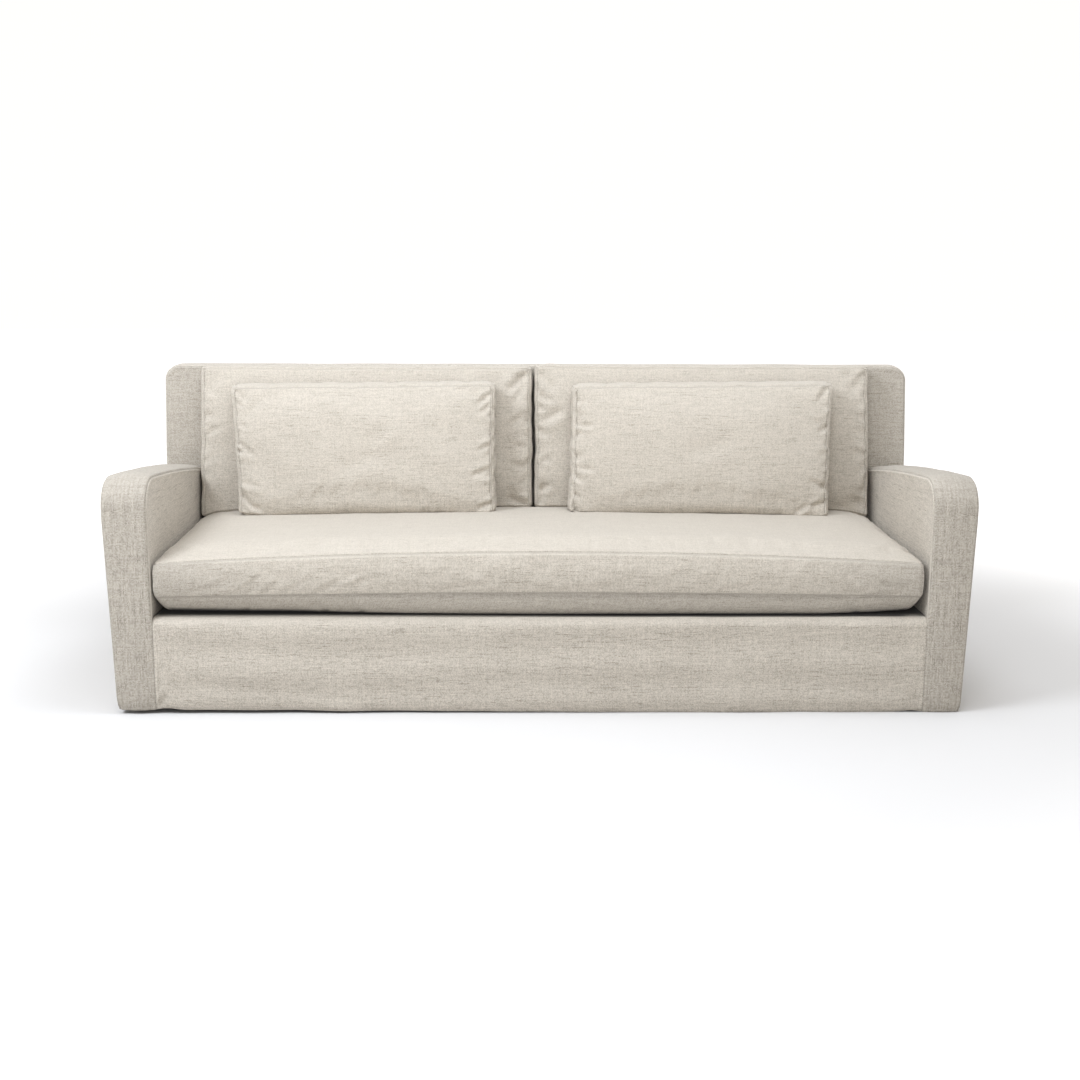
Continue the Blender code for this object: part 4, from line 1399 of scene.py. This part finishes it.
def panel_relief(s, t, to_side, to_end, width, height, seed, softness):
    """Seam, puckers and slow unevenness of one panel."""
    nearest = np.minimum(to_side, to_end)
    rise = np.where(to_end < to_side, seam_relief(to_end, "fine"), seam_relief(to_side, "welt"))
    places = ((t, s, height), (t, width - s, height), (s, t, width), (s, height - t, width))
    for number, (place, row) in enumerate(zip(places, PANEL_PUCKERS)):
        gathers = dict(zip(PUCKER_COLUMNS, row))
        gathers["depth"] *= softness
        rise = rise + puckers(*place, **gathers, seed=seed + number)
    slow = wander(s, t, amplitude=0.0011 * softness, wavelength=0.17, seed=seed + 4)
    return rise + slow * clamp(nearest / 0.04)


def boxing_relief(around, down, depth, seed, pucker_depth=0.0012, low_tuck=1.0):
    """The tucked seams and the gathers along both edges of a cushion's boxing."""
    length = float(around.max())
    rise = seam_relief(down, "tucked") + low_tuck * seam_relief(depth - down, "tucked")
    gathers = {"spacing": BOXING_SPACING, "depth": pucker_depth, "reach": BOXING_REACH}
    rise = rise + puckers(around, down, length, **gathers, seed=seed)
    return rise + puckers(around, depth - down, length, **gathers, seed=seed + 1)


def cushion_lines(size, steps):
    """Grid lines of a cushion: across and up from -1 to 1, and down its boxing from 0 to 1."""
    width, height, depth = size
    u = lines(width, steps[0]) / width * 2 - 1
    v = lines(height, steps[1]) / height * 2 - 1
    w = lines(depth, steps[2]) / depth
    return u, v, w


def seat_top(x, y):
    """Height of the seat cushion's crowned top, on which the other cushions stand."""
    rear = back_y(SEAT_SEAM) - SEAT_REAR_GAP
    u = np.clip((x - SEAT_MIDDLE) / SEAT_HALF, -1, 1)
    v = np.clip((y - SEAT_FRONT) / (rear - SEAT_FRONT) * 2 - 1, -1, 1)
    bow = SEAT_BOW * (1 - u**2) * (1 - SEAT_BOW_FADE * (v + 1) / 2)
    return SEAT_SEAM + bow + SEAT_CROWN * puff(u, v, 24, 8)


SEAT_SEED = 100
SEAT_BOXING_SEED = 110
SEAT_SEAM_SEED = 130

# How closely the seat's lower front edge hugs the deck: a power at each place along the cushion.
SEAT_HUG_U = (-1.0, -0.62, -0.35, 0.0, 0.74, 0.92, 1.0)
SEAT_HUG = (12, 17, 30, 40, 38, 18, 12)

# The seat's boxing runs from its left front corner, in metres along it and down it.
SEAT_CREASES = (
    (0.120, 0.072, 0.185, 0.050, 0.008, 0.0014),
    (0.198, 0.088, 0.282, 0.032, 0.006, 0.0020),
    (0.225, 0.088, 0.262, 0.060, 0.005, 0.0018),
    (0.270, 0.088, 0.315, 0.052, 0.006, 0.0020),
    (0.330, 0.080, 0.400, 0.048, 0.006, 0.0014),
    (0.405, 0.086, 0.470, 0.052, 0.006, 0.0024),
    (0.440, 0.088, 0.535, 0.040, 0.007, -0.0014),
    (0.470, 0.072, 0.540, 0.052, 0.005, 0.0022),
    (0.700, 0.084, 0.860, 0.062, 0.008, 0.0014),
    (1.010, 0.088, 1.180, 0.066, 0.008, 0.0012),
    (1.420, 0.086, 1.540, 0.060, 0.008, 0.0014),
    (1.770, 0.072, 1.810, 0.072, 0.006, 0.0018),
    (1.840, 0.055, 1.910, 0.068, 0.007, 0.0024),
    (1.820, 0.084, 1.900, 0.078, 0.006, 0.0018),
)
SEAT_LOW_CREASES = (
    (0.405, 0.004, 0.440, 0.030, 0.007, 0.0030),
    (0.490, 0.004, 0.530, 0.028, 0.007, 0.0028),
    (0.245, 0.004, 0.225, 0.030, 0.008, 0.0018),
    (1.760, 0.004, 1.800, 0.030, 0.007, 0.0022),
)


def seat_panels(u, v):
    across, _ = unruly(u, v, (2 * SEAT_HALF, SEAT_LENGTH), SEAT_WANDER, SEAT_SEAM_SEED)
    x = SEAT_MIDDLE + u * SEAT_HALF - np.sign(u) * np.abs(across)

    def depth_at(seam):
        rear = back_y(seam) - SEAT_REAR_GAP
        return SEAT_FRONT + (rear - SEAT_FRONT) * (v + 1) / 2

    top_y = depth_at(SEAT_SEAM)
    low_seam = SEAT_LOW_SEAM + SEAT_LOW_BOW * (1 - u**2)
    hug = np.interp(u, SEAT_HUG_U, SEAT_HUG)
    low_z = low_seam - (low_seam - DECK - SEAT_LIFT) * puff(u, v, 130, np.where(v < 0, hug, 16))
    shown = np.stack([x, top_y, seat_top(x, top_y)], axis=2)
    return shown, np.stack([x, depth_at(SEAT_LOW_SEAM), low_z], axis=2)


# A cushion's form says, in metres: how far its boxing bulges at the left, the right, the bottom and
# the top, how round its seams are, how much of the filling's push its boxing takes, how dark its
# seam lines are, partly as painted shade, and how much painted shade darkens its underside, its
# boxing towards its ends and its side in the crack between the back cushions. "pressure" and "cap"
# steer the filling. Each cushion adds its own values to these.
PLAIN_FORM = {
    "welt_line": 0.0046,
    "side_line": 0.42,
    "end_line": 0.16,
    "low_line": 0.30,
    "end_shade": 0.0,
    "under": 0.0,
    "crack": (0, 0),
    "facing": (0, -1, 0),
    "pressure": 2.0,
    "cap": 0.005,
}


def seat_cushion():
    """The long boxed seat cushion."""
    form = {
        **PLAIN_FORM,
        "panels": seat_panels,
        "bulges": (0.004, 0.004, 0.010, 0.003),
        "size": (2 * SEAT_HALF, SEAT_LENGTH, SEAT_BOXING),
        "edge": 0.006,
        "low_edge": 0.0015,
        "side_fill": 0.5,
        "corner": 0.012,
        "welt_line": 0.0008,
        "side_line": 0.30,
        "low_line": 0.75,
        # Painted shade: the seat's boxing darkens towards its ends and its underside goes near black.
        "end_shade": 0.19,
        "under": 1.0,
        "facing": (0, 0, 1),
        "cap": 0.006,
    }
    cushion = filled(form, steps=(0.0065, 0.014, 0.005), coarse_step=0.015)

    def reliefs(s, t, to_side, to_end, around, down, depth):
        top = panel_relief(s, t, to_side, to_end, 2 * SEAT_HALF, SEAT_LENGTH, SEAT_SEED, 0.55)
        bottom = seam_relief(np.minimum(to_side, to_end))
        bottom = bottom + creases(s, t, SEAT_LOW_CREASES)
        side = boxing_relief(around, down, depth, SEAT_BOXING_SEED, pucker_depth=0.0006, low_tuck=0.3)
        side = side + creases(around, down, SEAT_CREASES)
        slow = unevenness("seat_boxing", around, down * 3)
        side = side + slow * np.sin(math.pi * down / depth)
        return top, bottom, side

    piece = finish_cushion("seat_cushion_cover", form, cushion, reliefs)
    dress(piece, "seat_cushion")


def cushion_front(x, z, side):
    """Y of a back cushion's crowned front."""
    low, high = CUSHION_SIDES[side]
    u = np.clip((x - low) / (high - low) * 2 - 1, -1, 1)
    v = np.clip((z - CUSHION_BASE) / (CUSHION_TOP - CUSHION_BASE) * 2 - 1, -1, 1)
    return CUSHION_FRONT + (z - CUSHION_BASE) * CUSHION_LEAN - CUSHION_CROWN * puff(u, v, 4, 4)


def drawn_in(u, v, pull):
    """Draws a cushion's sides in between its corners."""
    return u * (1 - pull * (1 - v**2) * np.abs(u) ** 3)


def upright_cushion(kind, side, form, steps, coarse_step, seed, softness, folds):
    """A boxed cushion that stands, with folds that are placed in X and Z on its shown panel."""
    form = {**PLAIN_FORM, **form}
    width, height, _ = form["size"]
    cushion = filled(form, steps, coarse_step)
    shown_x = cushion.shown[..., 0].copy()
    shown_z = cushion.shown[..., 2].copy()

    def reliefs(s, t, to_side, to_end, around, down, depth):
        front = panel_relief(s, t, to_side, to_end, width, height, seed, softness)
        front = front + creases(shown_x, shown_z, folds)
        rear = seam_relief(np.minimum(to_side, to_end))
        return front, rear, boxing_relief(around, down, depth, seed + 10)

    piece = finish_cushion(f"{kind}_cover_{side}", form, cushion, reliefs)
    dress(piece, f"{kind}_{side}")


CUSHION_SEEDS = {"left": 200, "right": 220}
CUSHION_RISE = {"left": 0.0, "right": 0.003}  # how far the top seam stands over CUSHION_TOP
# The side that faces the crack gets painted shade on its boxing.
CUSHION_CRACK = {"left": (1, 2), "right": (3, 4)}  # the ring places of the side that faces the crack
CUSHION_SEAM_SEEDS = {"left": 230, "right": 231}  # one seed apart, so the seams at the gap wander together
CUSHION_BULGES = {"left": (0.009, 0.0065, 0.004, 0.005), "right": (0.0045, 0.009, 0.004, 0.004)}

# Folds of the back cushions and lumbars are placed in X and Z.
CUSHION_CREASES = {
    "left": (
        (-0.028, 0.818, -0.085, 0.762, 0.013, 0.0066),
        (-0.034, 0.788, -0.072, 0.728, 0.010, 0.0040),
        (-0.033, 0.700, -0.078, 0.668, 0.010, 0.0034),
        (-0.033, 0.600, -0.070, 0.612, 0.009, 0.0026),
        (-0.034, 0.545, -0.078, 0.560, 0.009, 0.0034),
        (-0.030, 0.437, -0.087, 0.462, 0.011, 0.0066),
        (-0.038, 0.470, -0.088, 0.480, 0.009, 0.0042),
        (-0.968, 0.632, -0.920, 0.658, 0.008, 0.0030),
        (-0.968, 0.690, -0.925, 0.684, 0.009, 0.0022),
        (-0.968, 0.560, -0.925, 0.580, 0.009, 0.0020),
        (-0.968, 0.780, -0.930, 0.745, 0.010, 0.0026),
    ),
    "right": (
        (0.003, 0.815, 0.050, 0.762, 0.012, 0.0058),
        (0.002, 0.752, 0.046, 0.728, 0.009, 0.0052),
        (0.002, 0.716, 0.026, 0.706, 0.008, 0.0034),
        (0.018, 0.676, 0.074, 0.708, 0.015, 0.0058),
        (0.002, 0.648, 0.030, 0.630, 0.009, 0.0036),
        (0.004, 0.560, 0.038, 0.565, 0.009, 0.0032),
        (0.002, 0.478, 0.036, 0.492, 0.010, 0.0062),
        (0.012, 0.440, 0.018, 0.490, 0.008, 0.0040),
        (0.963, 0.818, 0.915, 0.765, 0.012, 0.0036),
        (0.963, 0.735, 0.920, 0.722, 0.008, 0.0020),
        (0.963, 0.585, 0.920, 0.592, 0.008, 0.0026),
        (0.963, 0.640, 0.925, 0.655, 0.009, 0.0020),
        (0.965, 0.430, 0.915, 0.462, 0.010, 0.0038),
        (0.962, 0.480, 0.925, 0.478, 0.007, 0.0022),
    ),
}


def back_cushion(side):
    """A boxed cushion against the back."""
    low, high = CUSHION_SIDES[side]

    def panels(u, v):
        x = (low + high) / 2 + (high - low) / 2 * drawn_in(u, v, 0.002)

        def heights(front):
            base = seat_top(x, np.full_like(x, front)) + CUSHION_OVER_SEAT
            top = CUSHION_TOP + CUSHION_RISE[side] * (1 + 1.4 * bump((u + 0.90) / 0.16))
            return base + (top - base) * (v + 1) / 2

        across, up = unruly(u, v, (high - low, CUSHION_HEIGHT), SEAM_WANDER, CUSHION_SEAM_SEEDS[side])
        z = heights(CUSHION_FRONT)
        shown = np.stack([x + across, cushion_front(x, z, side), z + np.minimum(up, 0.001)], axis=2)
        z = heights(back_y(CUSHION_BASE))
        rounding = 0.006 * (1 - puff(u, v, 8, 6))
        return shown, np.stack([x, back_y(z) - CUSHION_OFF_BACK - rounding, z], axis=2)

    form = {
        "panels": panels,
        "bulges": CUSHION_BULGES[side],
        "size": (high - low, CUSHION_HEIGHT, CUSHION_DEPTH),
        "edge": 0.006,
        "low_edge": 0.006,
        "side_fill": 0.3,
        "corner": 0.014,
        "crack": CUSHION_CRACK[side],
    }
    upright_cushion(
        "back_cushion",
        side,
        form,
        steps=(0.009, 0.008, 0.010),
        coarse_step=0.011,
        seed=CUSHION_SEEDS[side],
        softness=1.25,
        folds=CUSHION_CREASES[side],
    )


LUMBAR_SEEDS = {"left": 300, "right": 320}
LUMBAR_CORNER_LIFT = {"left": 0.007, "right": 0.002}
LUMBAR_CREASES = {
    "left": (
        (-0.862, 0.775, -0.830, 0.742, 0.009, 0.0042),
        (-0.858, 0.735, -0.835, 0.726, 0.006, 0.0024),
        (-0.852, 0.630, -0.806, 0.592, 0.008, 0.0040),
        (-0.850, 0.605, -0.822, 0.590, 0.006, 0.0028),
        (-0.852, 0.680, -0.825, 0.668, 0.008, 0.0022),
        (-0.846, 0.520, -0.780, 0.506, 0.010, 0.0024),
        (-0.846, 0.486, -0.808, 0.452, 0.008, 0.0050),
        (-0.812, 0.452, -0.782, 0.443, 0.007, 0.0040),
        (-0.838, 0.466, -0.826, 0.440, 0.006, 0.0030),
        (-0.485, 0.631, -0.412, 0.686, 0.024, 0.0026),
        (-0.560, 0.560, -0.440, 0.600, 0.026, 0.0020),
        (-0.132, 0.768, -0.172, 0.735, 0.009, 0.0036),
        (-0.134, 0.738, -0.165, 0.712, 0.007, 0.0026),
        (-0.134, 0.626, -0.172, 0.608, 0.008, 0.0026),
        (-0.132, 0.556, -0.192, 0.540, 0.009, 0.0030),
        (-0.128, 0.464, -0.172, 0.448, 0.008, 0.0042),
    ),
    "right": (
        (0.095, 0.770, 0.118, 0.735, 0.008, 0.0036),
        (0.093, 0.720, 0.108, 0.702, 0.006, 0.0026),
        (0.095, 0.679, 0.155, 0.675, 0.008, 0.0036),
        (0.095, 0.600, 0.118, 0.570, 0.007, 0.0028),
        (0.098, 0.558, 0.160, 0.555, 0.009, 0.0030),
        (0.093, 0.548, 0.125, 0.517, 0.008, 0.0042),
        (0.092, 0.500, 0.118, 0.470, 0.007, 0.0026),
        (0.083, 0.462, 0.112, 0.436, 0.008, 0.0048),
        (0.420, 0.600, 0.560, 0.640, 0.028, 0.0020),
        (0.835, 0.792, 0.800, 0.745, 0.010, 0.0036),
        (0.832, 0.674, 0.798, 0.660, 0.008, 0.0028),
        (0.832, 0.600, 0.802, 0.600, 0.008, 0.0020),
        (0.828, 0.500, 0.770, 0.528, 0.009, 0.0032),
        (0.822, 0.466, 0.775, 0.452, 0.008, 0.0026),
        (0.727, 0.431, 0.772, 0.460, 0.008, 0.0030),
    ),
}


def lumbar(side):
    """A boxed lumbar cushion on the seat."""
    size = dict(zip(LUMBAR_COLUMNS, LUMBARS[side]))
    width = 2 * size["top_half"]
    seed = LUMBAR_SEEDS[side]

    def panels(u, v):
        rise = (v + 1) / 2
        middle = size["low_middle"] + (size["top_middle"] - size["low_middle"]) * rise
        half = size["low_half"] + (size["top_half"] - size["low_half"]) * rise
        x = middle + half * drawn_in(u, v, 0.012)
        low = seat_top(x, np.full_like(x, LUMBAR_FRONT)) + LUMBAR_OVER_SEAT
        low = low + LUMBAR_CORNER_LIFT[side] * bump((u + 1) / 0.10)
        top = size["top_left"] + (size["top_right"] - size["top_left"]) * (u + 1) / 2
        z = low + (top - low) * rise
        seam_y = LUMBAR_FRONT + (z - CUSHION_BASE) * LUMBAR_LEAN
        across, up = unruly(u, v, (width, LUMBAR_HEIGHT), SEAM_WANDER, seed + 30)
        crowned = LUMBAR_CROWN * np.where(v < 0, puff(u, v, 3, 9), puff(u, v, 3, 3))
        shown = np.stack([x + across, seam_y - crowned, z + np.maximum(up, -0.002)], axis=2)
        against = cushion_front(x, z, side) - LUMBAR_OFF_CUSHION
        full = seam_y + LUMBAR_DEPTH + LUMBAR_REAR_CROWN * puff(u, v, 3, 3)
        return shown, np.stack([x, np.minimum(full, against), z], axis=2)

    form = {
        "panels": panels,
        "bulges": (0.009, 0.009, 0.003, 0.006),
        "size": (width, LUMBAR_HEIGHT, LUMBAR_DEPTH),
        "edge": 0.005,
        "low_edge": 0.005,
        "side_fill": 1.0,
        "corner": 0.016,
        "end_line": 0.32,
    }
    upright_cushion(
        "lumbar",
        side,
        form,
        steps=(0.0055, 0.0050, 0.008),
        coarse_step=0.0085,
        seed=seed,
        softness=1.5,
        folds=LUMBAR_CREASES[side],
    )


# ---------------------------------------------------------------- studio


VIEW_YAW = math.radians(1.1382)
VIEW_PITCH = math.radians(11.34)
VIEW_ROLL = math.radians(0.2205)
VIEW_FROM = (-0.0786, -4.1495, 1.1956)
LENS = 50  # millimetres, as the sensor
SENSOR = 36


def stand(name, data, place, axes):
    """An object at a place, turned so that its own X, Y and Z lie along three axes."""
    made = add_object(name, data)
    made.matrix_world = Matrix.Translation(place) @ Matrix(axes).transposed().to_4x4()
    return made


def camera():
    forward = np.array([
        math.sin(VIEW_YAW) * math.cos(VIEW_PITCH),
        math.cos(VIEW_YAW) * math.cos(VIEW_PITCH),
        -math.sin(VIEW_PITCH),
    ])
    right = np.array([math.cos(VIEW_YAW), -math.sin(VIEW_YAW), 0.0])
    up = np.cross(right, forward)
    rolled_right = right * math.cos(VIEW_ROLL) + up * math.sin(VIEW_ROLL)
    rolled_up = up * math.cos(VIEW_ROLL) - right * math.sin(VIEW_ROLL)
    data = bpy.data.cameras.new("view")
    data.lens = LENS
    data.sensor_width = SENSOR
    bpy.context.scene.camera = stand("view", data, VIEW_FROM, (rolled_right, rolled_up, -forward))


SKY_COLOUR = (1.0, 0.985, 0.965, 1)
FRONT_SKY = 0.24
REAR_SKY = 1.03
HORIZON_TOP = 0.30
LIGHT_AIM = (0, 0, 0.4)
LIGHT_SIZE = 1.6
LIGHT_COLUMNS = ("place", "power", "colour")
LIGHTS = {
    "key": ((-2.4, -1.7, 3.2), 103, (0.945, 1.0, 1.085)),
    "top": ((0.5, -0.6, 3.6), 54, (0.95, 1.0, 1.08)),
    "side": ((0.2, -2.6, 3.2), 22, (1.0, 1.0, 1.0)),
    "fill": ((-0.5, -4.2, 1.3), 20, (1.0, 1.0, 1.0)),
}
FLOOR_REACH = 16.0
GLOW_START = 1.3
GLOW_END = 3.0
GLOW = 0.62
FLOOR_COLOUR = (0.67, 0.66, 0.65, 1)


def area_light(name, place, power, colour):
    """A square light that looks at the sofa."""
    data = bpy.data.lights.new(name, "AREA")
    data.shape = "RECTANGLE"
    data.size = LIGHT_SIZE
    data.size_y = LIGHT_SIZE
    data.energy = power
    data.color = colour
    way = np.array(LIGHT_AIM, float) - np.array(place, float)
    back = -way / np.linalg.norm(way)
    right = unit(np.cross((0, 0, 1), back))
    stand(name, data, place, (right, np.cross(back, right), back))


def floor():
    """A pale floor that glows softly far off, so that it meets the backdrop unseen."""
    mesh = bpy.data.meshes.new("floor")
    reach = FLOOR_REACH
    corners = [(-reach, -reach, 0), (reach, -reach, 0), (reach, reach, 0), (-reach, reach, 0)]
    mesh.from_pydata(corners, [], [(0, 1, 2, 3)])
    made = add_object("floor", mesh)
    paint, nodes, shader = node_material("floor_paint")
    nodes.fill(shader, {"Base Color": FLOOR_COLOUR, "Roughness": 0.9, "Emission Color": (1, 1, 1, 1)})
    where = nodes.add("TexCoord").outputs["Object"]
    far = nodes.add("VectorMath", operation="LENGTH")
    nodes.feed(far.inputs[0], where)
    glow = nodes.add("MapRange", interpolation_type="SMOOTHSTEP")
    nodes.fill(glow, {"Value": far.outputs["Value"], "From Min": GLOW_START, "From Max": GLOW_END})
    nodes.feed(glow.inputs["To Max"], GLOW)
    nodes.feed(shader.inputs["Emission Strength"], glow.outputs[0])
    mesh.materials.append(paint)


def backdrop():
    """Light all round, brighter behind the sofa than in front of it."""
    world = bpy.data.worlds.new("studio")
    bpy.context.scene.world = world
    world.use_nodes = True
    nodes = Nodes(world.node_tree)
    sky = world.node_tree.nodes["Background"]
    where = nodes.add("TexCoord").outputs["Generated"]
    _, behind, height = nodes.axes(where)
    ramp = nodes.add("MapRange")
    nodes.fill(ramp, {"Value": behind, "From Min": -1.0, "To Min": FRONT_SKY, "To Max": REAR_SKY})
    horizon = nodes.add("MapRange", interpolation_type="SMOOTHSTEP")
    nodes.fill(horizon, {"Value": height, "From Min": HORIZON_TOP, "From Max": 0.0})
    missing = nodes.math("SUBTRACT", REAR_SKY, ramp.outputs[0])
    added = nodes.times(horizon.outputs[0], missing)
    strength = nodes.math("ADD", ramp.outputs[0], added)
    nodes.fill(sky, {"Color": SKY_COLOUR, "Strength": strength})


def studio():
    floor()
    backdrop()
    for name, row in LIGHTS.items():
        area_light(name, **dict(zip(LIGHT_COLUMNS, row)))
    bpy.context.scene.view_settings.view_transform = "Standard"


# ---------------------------------------------------------------- everything


for arm_side in ("left", "right"):
    arm_strip(arm_side)
    arm_inner(arm_side)
    arm_outer(arm_side)
    back_cushion(arm_side)
    lumbar(arm_side)
front_apron()
deck()
back_inner()
back_strip()
back_outer()
seat_cushion()
camera()
studio()
